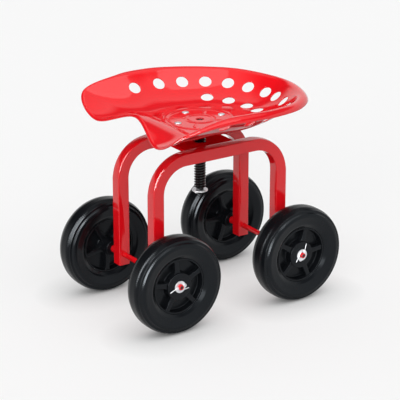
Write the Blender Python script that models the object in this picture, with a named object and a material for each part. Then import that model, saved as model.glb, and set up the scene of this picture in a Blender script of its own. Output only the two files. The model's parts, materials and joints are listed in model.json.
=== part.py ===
"""Rolling garden seat: a stamped tractor-style pan on a screw post and a four-wheeled tube frame.

Metres, +Z up. The floor is z = 0, the seat's front faces -X and the sitter's left is -Y.
"""
from math import acos, atan2, cos, pi, radians, sin, sqrt

import bmesh
import bpy
from mathutils import Matrix, Vector

MM = 0.001

# Clearances
TOUCH_GAP = 0.3 * MM          # between two faces that rest on each other, and round a pin in its hole

# Wheels and tyres
WHEEL_DIAMETER = 182.0 * MM
TYRE_WIDTH = 47.0 * MM
TREAD_FLAT_WIDTH = 20.0 * MM  # level band in the middle of the tread
TREAD_EDGE_DROP = 3.7 * MM    # tread edge line, below the tread and in from the side plane
TREAD_EDGE_INSET = 4.7 * MM
GROOVE_DROP = 7.4 * MM        # shoulder groove
BEAD_DROP = 9.9 * MM          # raised line outside the groove
BEAD_INSET = 1.3 * MM
SIDEWALL_DROP = 15.0 * MM     # widest part of the sidewall
FUNNEL_DROP = 31.0 * MM       # where the sidewall turns in towards the rim
FUNNEL_INSET = 3.8 * MM
RIM_RADIUS = 52.0 * MM
RIM_WIDTH = 30.4 * MM
RIM_WALL = 3.0 * MM
WHEEL_FACETS = 28
HUB_OUTER_RADIUS = 25.0 * MM
HUB_OUTBOARD = 16.5 * MM      # hub face, out from the wheel's middle plane
HUB_INNER_RADIUS = 16.0 * MM
HUB_INBOARD = 33.0 * MM       # inner boss, in from the middle plane
HUB_DRAFT = 1.0 * MM          # moulding draft on the hub walls
WEB_THICKNESS = 4.0 * MM
SPOKE_COUNT = 5
SPOKE_HUB_WIDTH = 10.0 * MM
SPOKE_RIM_WIDTH = 7.5 * MM
SPOKE_DEPTH = 13.5 * MM       # top of a spoke, from the middle plane
SPOKE_ROOT = 1.6 * MM         # how far a spoke runs into the hub and the rim wall

# Each wheel as it happens to have stopped: a spoke's direction, turned from +X towards +Z
SPOKE_TURN = {
    "front_left": radians(24),
    "rear_left": radians(5),
    "front_right": radians(50),
    "rear_right": radians(36),
}

# Axles, sleeves, washers and split pins
AXLE_DIAMETER = 10.0 * MM
SLEEVE_DIAMETER = 15.0 * MM
SLEEVE_LENGTH = 15.7 * MM
WASHER_DIAMETER = 22.0 * MM
WASHER_THICKNESS = 1.6 * MM
AXLE_TIP = 3.5 * MM           # axle beyond the middle of its pin hole
PIN_WIRE = 1.5 * MM
PIN_LEG_SPACING = 1.9 * MM
PIN_EYE_RADIUS = 2.7 * MM
PIN_LONG_LEG = 8.5 * MM       # leg ends beyond the shaft
PIN_SHORT_LEG = 6.5 * MM
PIN_SPLAY = radians(24)
ROD_FACETS = 12
WIRE_FACETS = 5

# Direction of each pin in its axle, from the eye to the legs, turned from +X towards +Z
PIN_TURN = {
    "front_left": radians(190),
    "rear_left": radians(62),
    "front_right": radians(115),
    "rear_right": radians(-25),
}

# Side frames
TUBE_SIDE = 22.0 * MM
TUBE_WALL = 1.5 * MM
TUBE_CORNER = 2.6 * MM
BEND_RADIUS = 59.0 * MM       # on the tube's centre line
BEND_STEPS = 6
CORNER_STEPS = 1
WHEELBASE = 270.0 * MM
FRAME_SPACING = 118.4 * MM    # between the tubes' centre planes
FRAME_HEIGHT = 307.4 * MM     # top of the arches above the floor
LEG_BELOW_AXLE = 20.0 * MM

# Cross plate and nut bush
CROSS_PLATE_LENGTH = 108.0 * MM
CROSS_PLATE_THICKNESS = 5.3 * MM
CROSS_PLATE_DROP = 7.4 * MM   # its top, below the top of the arches
CROSS_PLATE_CORNER = 3.0 * MM
BUSH_DIAMETER = 34.0 * MM
BUSH_LENGTH = 28.0 * MM
BUSH_CHAMFER = 1.5 * MM

# Screw post
POST_DIAMETER = 22.0 * MM
POST_LENGTH = 123.0 * MM
POST_CHAMFER = 1.5 * MM
STUB_DIAMETER = 13.4 * MM
STUB_LENGTH = 12.6 * MM
STUB_PIN_HEIGHT = 4.4 * MM    # pin hole above the foot of the stub
STOP_WASHER_DIAMETER = 29.0 * MM
STOP_WASHER_THICKNESS = 2.5 * MM
POST_PIN_TURN = radians(20)   # pin direction, from +X towards +Y
POST_FACETS = 20

# Seat plate and its bolts
SEAT_PLATE_DIAMETER = 115.0 * MM
SEAT_PLATE_THICKNESS = 5.0 * MM
PLATE_FACETS = 28
BOLT_EDGE = 10.0 * MM         # bolt centres, in from the plate's edge
BOLT_DIAMETER = 8.0 * MM
BOLT_HEAD_DIAMETER = 13.0 * MM
BOLT_HEAD_HEIGHT = 2.8 * MM
BOLT_HEAD_EDGE = 1.0 * MM     # upright edge under the head's dome
BOLT_CROWN_DIAMETER = 8.0 * MM
BOLT_TIP = 1.5 * MM           # bolt below its nut
NUT_ACROSS = 13.0 * MM
NUT_HEIGHT = 6.5 * MM
BOLT_TURN = {"rear": 0.0, "right": pi / 2, "front": pi, "left": 3 * pi / 2}

# Seat pan
SEAT_LIFT = 34.7 * MM         # the pan's floor above the arches, with the screw wound as it stands
PAN_THICKNESS = 2.0 * MM
LEVEL_MARGIN = 0.5 * MM       # the level middle of the floor reaches this far beyond the seat plate
BEAD_RING_WIDTH = 8.0 * MM    # ring pressed into the floor, between its level middle and the wall
BEAD_RING_HEIGHT = 1.8 * MM
LIP_RADIUS = 12.0 * MM        # the rim rolls over and down from its ridge
FRONT_LIP_RADIUS = 5.0 * MM   # it narrows to this along the front edge
LIP_NARROWS_FROM = -35.0 * MM
LIP_NARROWS_TO = -150.0 * MM
LIP_TURN = radians(82)
LIP_STEPS = 4
RIM_STEPS = 52
RIM_BEND_WEIGHT = 45.0 * MM   # a radian of bend in the rim takes as many steps as this length
WALL_STEPS = 6
WALL_SPACING = 0.8            # below 1 the rings crowd towards the rim
# Where the wall leaves the floor, as a share of the way to the rim, and how it steepens (1 is straight)
SIDE_START = 0.0
SIDE_CURVE = 2.61
BACK_START = 0.37
BACK_CURVE = 2.17
BACK_WIDTH = 170.0 * MM       # the back's shape fades into the sides' over this width
POMMEL_SLOPE = 0.48           # the pommel rises from the level middle of the floor
POMMEL_WIDTH = 105.0 * MM     # and falls away to this far on each side
# Ridge of the rim from the back, round the sitter's right, to the pommel: x, y, height over the floor
RIM_STATIONS = [
    (189.7 * MM, 0.0 * MM, 44.3 * MM),
    (160.6 * MM, 91.3 * MM, 46.9 * MM),
    (108.8 * MM, 143.0 * MM, 48.7 * MM),
    (41.2 * MM, 168.4 * MM, 52.9 * MM),
    (-10.6 * MM, 173.8 * MM, 55.6 * MM),
    (-69.0 * MM, 171.5 * MM, 54.3 * MM),
    (-144.5 * MM, 166.2 * MM, 37.4 * MM),
    (-155.9 * MM, 100.5 * MM, 3.8 * MM),
    (-134.6 * MM, 0.0 * MM, 31.4 * MM),
]
HOLE_DIAMETER = 23.4 * MM
HOLE_FACETS = 10
OUTER_HOLES_PER_SIDE = 7
OUTER_HOLE_REACH = 0.826      # share of the way from the floor to the rim
OUTER_HOLE_CENTRE = 32.7 * MM # the row is spaced evenly about this point behind the post
OUTER_HOLE_FIRST = radians(7.2)
OUTER_HOLE_PITCH = radians(18.6)
INNER_HOLES_PER_SIDE = 3
INNER_HOLE_RADIUS = 117.5 * MM
INNER_HOLE_FIRST = radians(8.0)
INNER_HOLE_PITCH = radians(20.6)
CENTRE_HOLE_DIAMETER = 14.0 * MM

# Places that follow from the sizes above
WHEEL_RADIUS = WHEEL_DIAMETER / 2
AXLE_Z = WHEEL_RADIUS * cos(pi / WHEEL_FACETS)          # a flat of the faceted tread rests on the floor
LEG_OUTER_Y = FRAME_SPACING / 2 + TUBE_SIDE / 2
SLEEVE_START_Y = LEG_OUTER_Y + TOUCH_GAP
WHEEL_Y = SLEEVE_START_Y + SLEEVE_LENGTH + TOUCH_GAP + HUB_INBOARD
WASHER_START_Y = WHEEL_Y + HUB_OUTBOARD + TOUCH_GAP
PIN_HOLE_RADIUS = (PIN_LEG_SPACING + PIN_WIRE) / 2 + TOUCH_GAP
PIN_Y = WASHER_START_Y + WASHER_THICKNESS + TOUCH_GAP + PIN_WIRE / 2
AXLE_END_Y = PIN_Y + AXLE_TIP
CROSS_PLATE_TOP = FRAME_HEIGHT - CROSS_PLATE_DROP
CROSS_PLATE_WIDTH = FRAME_SPACING - TUBE_SIDE - 2 * TOUCH_GAP
BUSH_TOP = CROSS_PLATE_TOP - CROSS_PLATE_THICKNESS - TOUCH_GAP
SEAT_HEIGHT = FRAME_HEIGHT + SEAT_LIFT                  # top of the pan's floor
BOLT_CIRCLE_RADIUS = SEAT_PLATE_DIAMETER / 2 - BOLT_EDGE
PAN_LEVEL_RADIUS = SEAT_PLATE_DIAMETER / 2 + LEVEL_MARGIN
PAN_FLOOR_RADIUS = PAN_LEVEL_RADIUS + BEAD_RING_WIDTH
PLATE_TOP = SEAT_HEIGHT - PAN_THICKNESS - TOUCH_GAP
PLATE_BOTTOM = PLATE_TOP - SEAT_PLATE_THICKNESS
POST_TOP = PLATE_BOTTOM - TOUCH_GAP
STUB_TOP = POST_TOP - POST_LENGTH
STUB_BOTTOM = STUB_TOP - STUB_LENGTH
POST_PIN_Z = STUB_BOTTOM + STUB_PIN_HEIGHT
STOP_WASHER_BOTTOM = POST_PIN_Z + PIN_WIRE / 2 + TOUCH_GAP
NUT_TOP = PLATE_BOTTOM - TOUCH_GAP
BOLT_BOTTOM = NUT_TOP - NUT_HEIGHT - BOLT_TIP
CORNERS = [
    ("front_left", -1, -1),
    ("front_right", -1, 1),
    ("rear_left", 1, -1),
    ("rear_right", 1, 1),
]


def clear_scene():
    for obj in list(bpy.data.objects):
        bpy.data.objects.remove(obj, do_unlink=True)


def material(name, colour, roughness, metallic):
    made = bpy.data.materials.new(name)
    made.use_nodes = True
    shader = made.node_tree.nodes["Principled BSDF"]
    shader.inputs["Base Color"].default_value = (*colour, 1.0)
    shader.inputs["Roughness"].default_value = roughness
    shader.inputs["Metallic"].default_value = metallic
    return made


def group(name, place, parent=None):
    """An empty on a joint's axis, which carries the pieces that move together."""
    empty = bpy.data.objects.new(name, None)
    empty.location = place
    empty.parent = parent
    bpy.context.scene.collection.objects.link(empty)
    return empty


def add_object(name, mesh, look, parent=None, turn=0.0):
    """A piece whose mesh is drawn about its parent empty, turned about Z."""
    obj = bpy.data.objects.new(name, mesh)
    obj.rotation_euler = (0.0, 0.0, turn)
    obj.parent = parent
    if look and not mesh.materials:
        mesh.materials.append(look)
    bpy.context.scene.collection.objects.link(obj)
    return obj


def finish_mesh(name, bm, smooth_angle=radians(35)):
    bmesh.ops.remove_doubles(bm, verts=bm.verts, dist=0.001 * MM)
    bmesh.ops.recalc_face_normals(bm, faces=bm.faces)
    mesh = bpy.data.meshes.new(name)
    bm.to_mesh(mesh)
    bm.free()
    mesh.shade_smooth()
    mesh.set_sharp_from_angle(angle=smooth_angle)
    return mesh


def loft_into(bm, rings, closed):
    """Skin rings of equal length. Closed joins the last ring to the first; otherwise both ends are capped."""
    rows = [[bm.verts.new(point) for point in ring] for ring in rings]
    count = len(rows[0])
    pairs = list(zip(rows, rows[1:]))
    if closed:
        pairs.append((rows[-1], rows[0]))
    for one, two in pairs:
        for i in range(count):
            j = (i + 1) % count
            bm.faces.new((one[i], one[j], two[j], two[i]))
    if not closed:
        bm.faces.new(rows[0])
        bm.faces.new(rows[-1])


def loft(name, rings, closed=False):
    bm = bmesh.new()
    loft_into(bm, rings, closed)
    return finish_mesh(name, bm)


def circle(radius, facets, height=0.0, start=0.0):
    """Ring about Z."""
    turns = [start + 2 * pi * i / facets for i in range(facets)]
    return [Vector((radius * cos(a), radius * sin(a), height)) for a in turns]


def round_bore(radius, facets):
    """Corner radius of a faceted bore whose flats clear a shaft of this radius."""
    return (radius + TOUCH_GAP) / cos(pi / facets)


def about_y(rings):
    """Turn rings drawn about Z so that their axis runs along +Y."""
    turn = Matrix.Rotation(-pi / 2, 4, "X")
    return [[turn @ point for point in ring] for ring in rings]


def turned(name, profile, facets, start=0.0):
    """Revolve a closed profile of (radius, height) points about Z."""
    rings = [circle(radius, facets, height, start) for radius, height in profile]
    return loft(name, rings, closed=True)


def tube_profile(inner, outer, low, high):
    return [(inner, high), (outer, high), (outer, low), (inner, low)]


def cylinder_cutter(name, radius, length, matrix, facets=ROD_FACETS):
    """A hidden round cutter along the matrix's Z axis."""
    rings = [circle(radius, facets, -length / 2), circle(radius, facets, length / 2)]
    mesh = loft(name, rings)
    mesh.transform(matrix)
    return mesh


def cut(target, meshes, operation="DIFFERENCE"):
    """Cut, or join, closed meshes that don't meet each other, given in the target's own space."""
    bm = bmesh.new()
    for mesh in meshes:
        bm.from_mesh(mesh)
        bpy.data.meshes.remove(mesh)
    joined = bpy.data.meshes.new(target.name + "_tool")
    bm.to_mesh(joined)
    bm.free()
    tool = add_object(target.name + "_tool", joined, None, target)
    tool.hide_render = True
    tool.display_type = "WIRE"
    boolean = target.modifiers.new("holes", "BOOLEAN")
    boolean.operation = operation
    boolean.solver = "EXACT"
    boolean.object = tool


def along(direction, place):
    """Matrix whose Z axis is the direction."""
    return Matrix.Translation(place) @ Vector(direction).to_track_quat("Z", "Y").to_matrix().to_4x4()


# Side frames

def rounded_square(side, corner):
    """Square section with rounded corners, as (across, up) pairs."""
    half = side / 2 - corner
    points = []
    for quarter in range(4):
        middle = pi / 4 + quarter * pi / 2
        centre = (half * sqrt(2) * cos(middle), half * sqrt(2) * sin(middle))
        for step in range(CORNER_STEPS + 1):
            angle = quarter * pi / 2 + step * pi / 2 / CORNER_STEPS
            points.append((centre[0] + corner * cos(angle), centre[1] + corner * sin(angle)))
    return points


def arch_path():
    """Stations of the tube's centre line in the XZ plane, as (place, outward direction)."""
    leg_x = WHEELBASE / 2
    bar_z = FRAME_HEIGHT - TUBE_SIDE / 2
    bend = Vector((leg_x - BEND_RADIUS, 0.0, bar_z - BEND_RADIUS))
    half = [(Vector((leg_x, 0.0, AXLE_Z - LEG_BELOW_AXLE)), Vector((1.0, 0.0, 0.0)))]
    for step in range(BEND_STEPS + 1):
        angle = pi / 2 * step / BEND_STEPS
        out = Vector((cos(angle), 0.0, sin(angle)))
        half.append((bend + BEND_RADIUS * out, out))
    mirror = Vector((-1.0, 1.0, 1.0))
    return half + [(place * mirror, out * mirror) for place, out in reversed(half)]


def side_frame_mesh():
    across = Vector((0.0, 1.0, 0.0))
    path = arch_path()

    def rings(section):
        return [[place + u * out + v * across for u, v in section] for place, out in path]

    outer = rings(rounded_square(TUBE_SIDE, TUBE_CORNER))
    inner = rings(rounded_square(TUBE_SIDE - 2 * TUBE_WALL, TUBE_CORNER - TUBE_WALL))
    return loft("side_frame", outer + inner[::-1], closed=True)


def make_side_frames(chassis, red):
    mesh = side_frame_mesh()
    for name, side in (("side_frame_left", -1), ("side_frame_right", 1)):
        frame = add_object(name, mesh.copy(), red, chassis)
        frame.location = (0.0, side * FRAME_SPACING / 2, 0.0)
        radius = round_bore(AXLE_DIAMETER / 2, ROD_FACETS)
        holes = []
        for end in (-1, 1):
            place = Vector((end * WHEELBASE / 2, 0.0, AXLE_Z))
            holes.append(cylinder_cutter("axle_hole", radius, 2 * TUBE_SIDE, along((0, 1, 0), place)))
        cut(frame, holes)
    bpy.data.meshes.remove(mesh)


# Axles, sleeves, washers and split pins

def pin_direction(corner):
    turn = PIN_TURN[corner]
    return Vector((cos(turn), 0.0, sin(turn)))


def make_axles(chassis, red):
    for name, end in (("front", -1), ("rear", 1)):
        rings = about_y([circle(AXLE_DIAMETER / 2, ROD_FACETS, side * AXLE_END_Y) for side in (-1, 1)])
        axle = add_object(name + "_axle", loft("axle", rings), red, chassis)
        axle.location = (end * WHEELBASE / 2, 0.0, AXLE_Z)
        holes = []
        for side_name, side in (("left", -1), ("right", 1)):
            place = Vector((0.0, side * PIN_Y, 0.0))
            matrix = along(pin_direction(name + "_" + side_name), place)
            holes.append(cylinder_cutter("pin_hole", PIN_HOLE_RADIUS, 2 * AXLE_DIAMETER, matrix, 8))
        cut(axle, holes)


def split_pin_path(shaft_radius):
    """Folded wire along +X with its eye behind the shaft, in the XY plane."""
    half = PIN_LEG_SPACING / 2
    eye_x = -(shaft_radius + TOUCH_GAP + PIN_WIRE / 2 + PIN_EYE_RADIUS)
    neck = acos(half / PIN_EYE_RADIUS)
    points = []
    for leg, sign in ((PIN_LONG_LEG, 1), (PIN_SHORT_LEG, -1)):
        bend = Vector((shaft_radius, sign * half, 0.0))
        tip = bend + leg * Vector((cos(PIN_SPLAY), sign * sin(PIN_SPLAY), 0.0))
        side = [tip, bend]
        points.append(side if sign > 0 else side[::-1])
    eye = []
    steps = 6
    first = pi / 2 - neck
    for step in range(steps + 1):
        angle = first + (2 * pi - 2 * first) * step / steps
        eye.append(Vector((eye_x + PIN_EYE_RADIUS * cos(angle), PIN_EYE_RADIUS * sin(angle), 0.0)))
    return points[0] + eye + points[1]


def wire_rings(path, radius):
    """Rings round a path in the XY plane, mitred at its corners."""
    up = Vector((0.0, 0.0, 1.0))
    rings = []
    for i, place in enumerate(path):
        before = (place - path[max(i - 1, 0)]).normalized()
        after = (path[min(i + 1, len(path) - 1)] - place).normalized()
        side = up.cross((before + after).normalized())
        stretch = 1.0 / max(up.cross(before or after).dot(side), up.cross(after or before).dot(side))
        ring = circle(radius, WIRE_FACETS)
        rings.append([place + point.x * stretch * side + point.y * up for point in ring])
    return rings


def split_pin_mesh(shaft_radius):
    return loft("split_pin", wire_rings(split_pin_path(shaft_radius), PIN_WIRE / 2))


def make_wheel_hardware(chassis, red, zinc):
    bore = round_bore(AXLE_DIAMETER / 2, ROD_FACETS)
    sleeve = tube_profile(bore, SLEEVE_DIAMETER / 2, 0.0, SLEEVE_LENGTH)
    washer = tube_profile(bore, WASHER_DIAMETER / 2, 0.0, WASHER_THICKNESS)
    facing_out = {side: Matrix.Rotation(-side * pi / 2, 4, "X") for side in (-1, 1)}
    for corner, end, side in CORNERS:
        x = end * WHEELBASE / 2
        for kind, profile, start, look in (
            ("axle_sleeve_", sleeve, SLEEVE_START_Y, red),
            ("wheel_washer_", washer, WASHER_START_Y, zinc),
        ):
            mesh = turned(kind + corner, profile, ROD_FACETS)
            mesh.transform(facing_out[side])
            add_object(kind + corner, mesh, look, chassis).location = (x, side * start, AXLE_Z)
        mesh = split_pin_mesh(AXLE_DIAMETER / 2)
        lie = Matrix.Rotation(-PIN_TURN[corner], 4, "Y") @ Matrix.Rotation(pi / 2, 4, "X")
        mesh.transform(lie)
        add_object("wheel_pin_" + corner, mesh, zinc, chassis).location = (x, side * PIN_Y, AXLE_Z)


# Wheels, drawn about Z with the outer face up

def tyre_profile():
    half = TYRE_WIDTH / 2
    bore = round_bore(RIM_RADIUS, WHEEL_FACETS)
    side = [
        (WHEEL_RADIUS, TREAD_FLAT_WIDTH / 2),
        (WHEEL_RADIUS - TREAD_EDGE_DROP, half - TREAD_EDGE_INSET),
        (WHEEL_RADIUS - GROOVE_DROP, half - TREAD_EDGE_INSET),
        (WHEEL_RADIUS - BEAD_DROP, half - BEAD_INSET),
        (WHEEL_RADIUS - SIDEWALL_DROP, half),
        (WHEEL_RADIUS - FUNNEL_DROP, half - FUNNEL_INSET),
        (bore, RIM_WIDTH / 2),
    ]
    return [(r, z) for r, z in reversed(side)] + [(r, -z) for r, z in side]


def wheel_centre_profile():
    bore = round_bore(AXLE_DIAMETER / 2, WHEEL_FACETS)
    half_rim = RIM_WIDTH / 2
    half_web = WEB_THICKNESS / 2
    well = RIM_RADIUS - RIM_WALL
    return [
        (bore, HUB_OUTBOARD),
        (HUB_OUTER_RADIUS, HUB_OUTBOARD),
        (HUB_OUTER_RADIUS + HUB_DRAFT, half_web),
        (well - HUB_DRAFT, half_web),
        (well, half_rim),
        (RIM_RADIUS, half_rim),
        (RIM_RADIUS, -half_rim),
        (well, -half_rim),
        (well - HUB_DRAFT, -half_web),
        (HUB_INNER_RADIUS + HUB_DRAFT, -half_web),
        (HUB_INNER_RADIUS, -HUB_INBOARD),
        (bore, -HUB_INBOARD),
    ]


def spoke_meshes():
    """Tapered bars from hub to rim on both faces of the web, each as its own closed mesh."""
    meshes = []
    outer = RIM_RADIUS - RIM_WALL + SPOKE_ROOT
    for face, hub in ((1, HUB_OUTER_RADIUS), (-1, HUB_INNER_RADIUS)):
        inner = hub - SPOKE_ROOT
        for i in range(SPOKE_COUNT):
            rings = []
            for z in (face * WEB_THICKNESS / 4, face * SPOKE_DEPTH):
                rings.append([
                    Vector((inner, -SPOKE_HUB_WIDTH / 2, z)),
                    Vector((outer, -SPOKE_RIM_WIDTH / 2, z)),
                    Vector((outer, SPOKE_RIM_WIDTH / 2, z)),
                    Vector((inner, SPOKE_HUB_WIDTH / 2, z)),
                ])
            mesh = loft("spoke", rings)
            mesh.transform(Matrix.Rotation(2 * pi * i / SPOKE_COUNT, 4, "Z"))
            meshes.append(mesh)
    return meshes


def wheel_centre_mesh():
    body = add_object("wheel_centre_body", turned("wheel_centre", wheel_centre_profile(), WHEEL_FACETS), None)
    cut(body, spoke_meshes(), "UNION")
    evaluated = body.evaluated_get(bpy.context.evaluated_depsgraph_get())
    mesh = bpy.data.meshes.new_from_object(evaluated)
    for obj in list(body.children) + [body]:
        bpy.data.objects.remove(obj, do_unlink=True)
    mesh.shade_smooth()
    mesh.set_sharp_from_angle(angle=radians(35))
    return mesh


def make_wheels(chassis, rubber, plastic):
    flat_down = pi / WHEEL_FACETS + pi / 2
    tyre = turned("tyre", tyre_profile(), WHEEL_FACETS, flat_down)
    centre = wheel_centre_mesh()
    for corner, end, side in CORNERS:
        wheel = group("wheel_" + corner, (end * WHEELBASE / 2, side * WHEEL_Y, AXLE_Z), chassis)
        face_out = Matrix.Rotation(-side * pi / 2, 4, "X")
        spokes = Matrix.Rotation(-SPOKE_TURN[corner], 4, "Y")
        for name, mesh, place, look in (
            ("tyre_", tyre, face_out, rubber),
            ("wheel_centre_", centre, spokes @ face_out, plastic),
        ):
            copy = mesh.copy()
            copy.transform(place)
            add_object(name + corner, copy, look, wheel)
    bpy.data.meshes.remove(tyre)
    bpy.data.meshes.remove(centre)


# Cross plate, nut bush and screw post

def make_cross_plate(chassis, red):
    bm = bmesh.new()
    bmesh.ops.create_cube(bm, size=1.0)
    size = Vector((CROSS_PLATE_LENGTH, CROSS_PLATE_WIDTH, CROSS_PLATE_THICKNESS))
    bmesh.ops.scale(bm, vec=size, verts=bm.verts)
    uprights = [e for e in bm.edges if abs(e.verts[0].co.z - e.verts[1].co.z) > CROSS_PLATE_THICKNESS / 2]
    bmesh.ops.bevel(bm, geom=uprights, offset=CROSS_PLATE_CORNER, segments=2, affect="EDGES", profile=0.5)
    plate = add_object("cross_plate", finish_mesh("cross_plate", bm), red, chassis)
    plate.location = (0.0, 0.0, CROSS_PLATE_TOP - CROSS_PLATE_THICKNESS / 2)
    radius = round_bore(POST_DIAMETER / 2, POST_FACETS)
    hole = cylinder_cutter("post_hole", radius, 2 * CROSS_PLATE_THICKNESS, Matrix(), POST_FACETS)
    cut(plate, [hole])
    low = BUSH_TOP - BUSH_LENGTH
    profile = [
        (radius, BUSH_TOP),
        (BUSH_DIAMETER / 2, BUSH_TOP),
        (BUSH_DIAMETER / 2, low + BUSH_CHAMFER),
        (BUSH_DIAMETER / 2 - BUSH_CHAMFER, low),
        (radius, low),
    ]
    add_object("post_nut", turned("post_nut", profile, POST_FACETS), red, chassis)


def make_post(seat, lift, steel, zinc):
    stub = STUB_DIAMETER / 2
    post = POST_DIAMETER / 2
    rings = [
        circle(stub, POST_FACETS, STUB_BOTTOM),
        circle(stub, POST_FACETS, STUB_TOP),
        circle(post - POST_CHAMFER, POST_FACETS, STUB_TOP),
        circle(post, POST_FACETS, STUB_TOP + POST_CHAMFER),
        circle(post, POST_FACETS, POST_TOP),
    ]
    obj = add_object("seat_post", loft("seat_post", rings), steel, seat)
    direction = (cos(POST_PIN_TURN), sin(POST_PIN_TURN), 0.0)
    matrix = along(direction, (0.0, 0.0, POST_PIN_Z))
    cut(obj, [cylinder_cutter("pin_hole", PIN_HOLE_RADIUS, 2 * STUB_DIAMETER, matrix, 8)])
    pin = split_pin_mesh(stub)
    pin.transform(Matrix.Rotation(POST_PIN_TURN, 4, "Z"))
    add_object("post_pin", pin, zinc, seat).location = (0.0, 0.0, POST_PIN_Z)
    high = STOP_WASHER_BOTTOM + STOP_WASHER_THICKNESS
    profile = tube_profile(round_bore(stub, POST_FACETS), STOP_WASHER_DIAMETER / 2, STOP_WASHER_BOTTOM, high)
    add_object("post_washer", turned("post_washer", profile, POST_FACETS), zinc, lift)


# Seat plate and bolts

def hexagon(across, height):
    """Hexagon ring of twelve points, so that it meets a twelve-sided shank."""
    flat = across / 2
    ring = []
    for i in range(ROD_FACETS):
        reach = flat if i % 2 else flat / cos(pi / 6)
        angle = 2 * pi * i / ROD_FACETS
        ring.append(Vector((reach * cos(angle), reach * sin(angle), height)))
    return ring


def bolt_place(name):
    turn = BOLT_TURN[name]
    return Vector((BOLT_CIRCLE_RADIUS * cos(turn), BOLT_CIRCLE_RADIUS * sin(turn), 0.0))


def bolt_holes(height):
    radius = round_bore(BOLT_DIAMETER / 2, ROD_FACETS)
    length = 4 * SEAT_PLATE_THICKNESS
    places = [bolt_place(name) + Vector((0.0, 0.0, height)) for name in BOLT_TURN]
    return [cylinder_cutter("bolt_hole", radius, length, Matrix.Translation(place)) for place in places]


def make_seat_plate(seat, red, zinc):
    rings = [circle(SEAT_PLATE_DIAMETER / 2, PLATE_FACETS, z) for z in (PLATE_BOTTOM, PLATE_TOP)]
    plate = add_object("seat_plate", loft("seat_plate", rings), red, seat)
    cut(plate, bolt_holes(PLATE_TOP))
    shank = BOLT_DIAMETER / 2
    bore = round_bore(shank, ROD_FACETS)
    head = SEAT_HEIGHT + TOUCH_GAP
    for name in BOLT_TURN:
        bolt = [
            circle(shank, ROD_FACETS, BOLT_BOTTOM),
            circle(shank, ROD_FACETS, head),
            circle(BOLT_HEAD_DIAMETER / 2, ROD_FACETS, head),
            circle(BOLT_HEAD_DIAMETER / 2, ROD_FACETS, head + BOLT_HEAD_EDGE),
            circle(BOLT_CROWN_DIAMETER / 2, ROD_FACETS, head + BOLT_HEAD_HEIGHT),
        ]
        nut = [
            circle(bore, ROD_FACETS, NUT_TOP),
            hexagon(NUT_ACROSS, NUT_TOP),
            hexagon(NUT_ACROSS, NUT_TOP - NUT_HEIGHT),
            circle(bore, ROD_FACETS, NUT_TOP - NUT_HEIGHT),
        ]
        add_object("seat_bolt_" + name, loft("seat_bolt", bolt), zinc, seat).location = bolt_place(name)
        add_object("seat_nut_" + name, loft("seat_nut", nut, True), zinc, seat).location = bolt_place(name)


# Seat pan

def rim_loop():
    """All stations of the ridge, counter-clockwise from the back."""
    right = [Vector(station) for station in RIM_STATIONS]
    mirror = Vector((1.0, -1.0, 1.0))
    return right + [station * mirror for station in reversed(right[1:-1])]


def ridge(turn):
    """Point of the ridge at a share of the way round, on a smooth closed curve through the stations."""
    loop = rim_loop()
    count = len(loop)
    place = (turn % 1.0) * count
    i = int(place) % count
    t = place - int(place)
    a, b, c, d = (loop[(i + k) % count] for k in (-1, 0, 1, 2))
    square = 2 * a - 5 * b + 4 * c - d
    cube = 3 * b - a - 3 * c + d
    return 0.5 * (2 * b + (c - a) * t + square * t ** 2 + cube * t ** 3)


def smooth_step(low, high, value):
    share = min(max((value - low) / (high - low), 0.0), 1.0)
    return share * share * (3 - 2 * share)


def wall_shape(turn):
    """Start and curve of the wall, which the back has of its own."""
    point = ridge(turn)
    back = smooth_step(BACK_WIDTH, 0.0, abs(point.y)) if point.x > 0 else 0.0
    return SIDE_START + (BACK_START - SIDE_START) * back, SIDE_CURVE + (BACK_CURVE - SIDE_CURVE) * back


def pommel(point):
    """Height that the pommel adds to the pan at a point."""
    ahead = max(-point.x - PAN_LEVEL_RADIUS, 0.0)
    return POMMEL_SLOPE * ahead * smooth_step(POMMEL_WIDTH, 0.0, abs(point.y))


def rim_frame(turn):
    """Ridge point, outward and upward directions of the rolled lip, and the lean of the wall that it ends."""
    step = 0.25 / RIM_STEPS
    tangent = (ridge(turn + step) - ridge(turn - step)).normalized()
    out = tangent.cross(Vector((0.0, 0.0, 1.0))).normalized()
    point = ridge(turn)
    start, curve = wall_shape(turn)
    run = (point.xy.length - PAN_FLOOR_RADIUS) * (1 - start)
    wall_slope = (point.z - pommel(point)) * curve / run
    pommel_slope = (pommel(point) - pommel(point * (1 - step))) / (point.xy.length * step)
    lean = atan2(max(wall_slope + pommel_slope, 0.0), 1.0)
    return point, out, out.cross(tangent), lean


def lip_point(turn, roll):
    """Point on the rolled lip: 0 is the wall's end and 1 is the free edge."""
    point, out, up, lean = rim_frame(turn)
    narrow = smooth_step(LIP_NARROWS_FROM, LIP_NARROWS_TO, point.x)
    radius = LIP_RADIUS + (FRONT_LIP_RADIUS - LIP_RADIUS) * narrow
    angle = -lean + (LIP_TURN + lean) * roll
    return point - radius * up + radius * (sin(angle) * out + cos(angle) * up)


def wall_point(turn, share):
    """Point on the pan's wall between the round floor and the lip."""
    edge = lip_point(turn, 0.0)
    flat = Vector((edge.x, edge.y, 0.0))
    inner = flat.normalized() * PAN_FLOOR_RADIUS
    place = inner.lerp(flat, share)
    start, curve = wall_shape(turn)
    rise = (max(share - start, 0.0) / (1 - start)) ** curve
    place.z = pommel(place) + (edge.z - pommel(edge)) * rise
    return place


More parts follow.
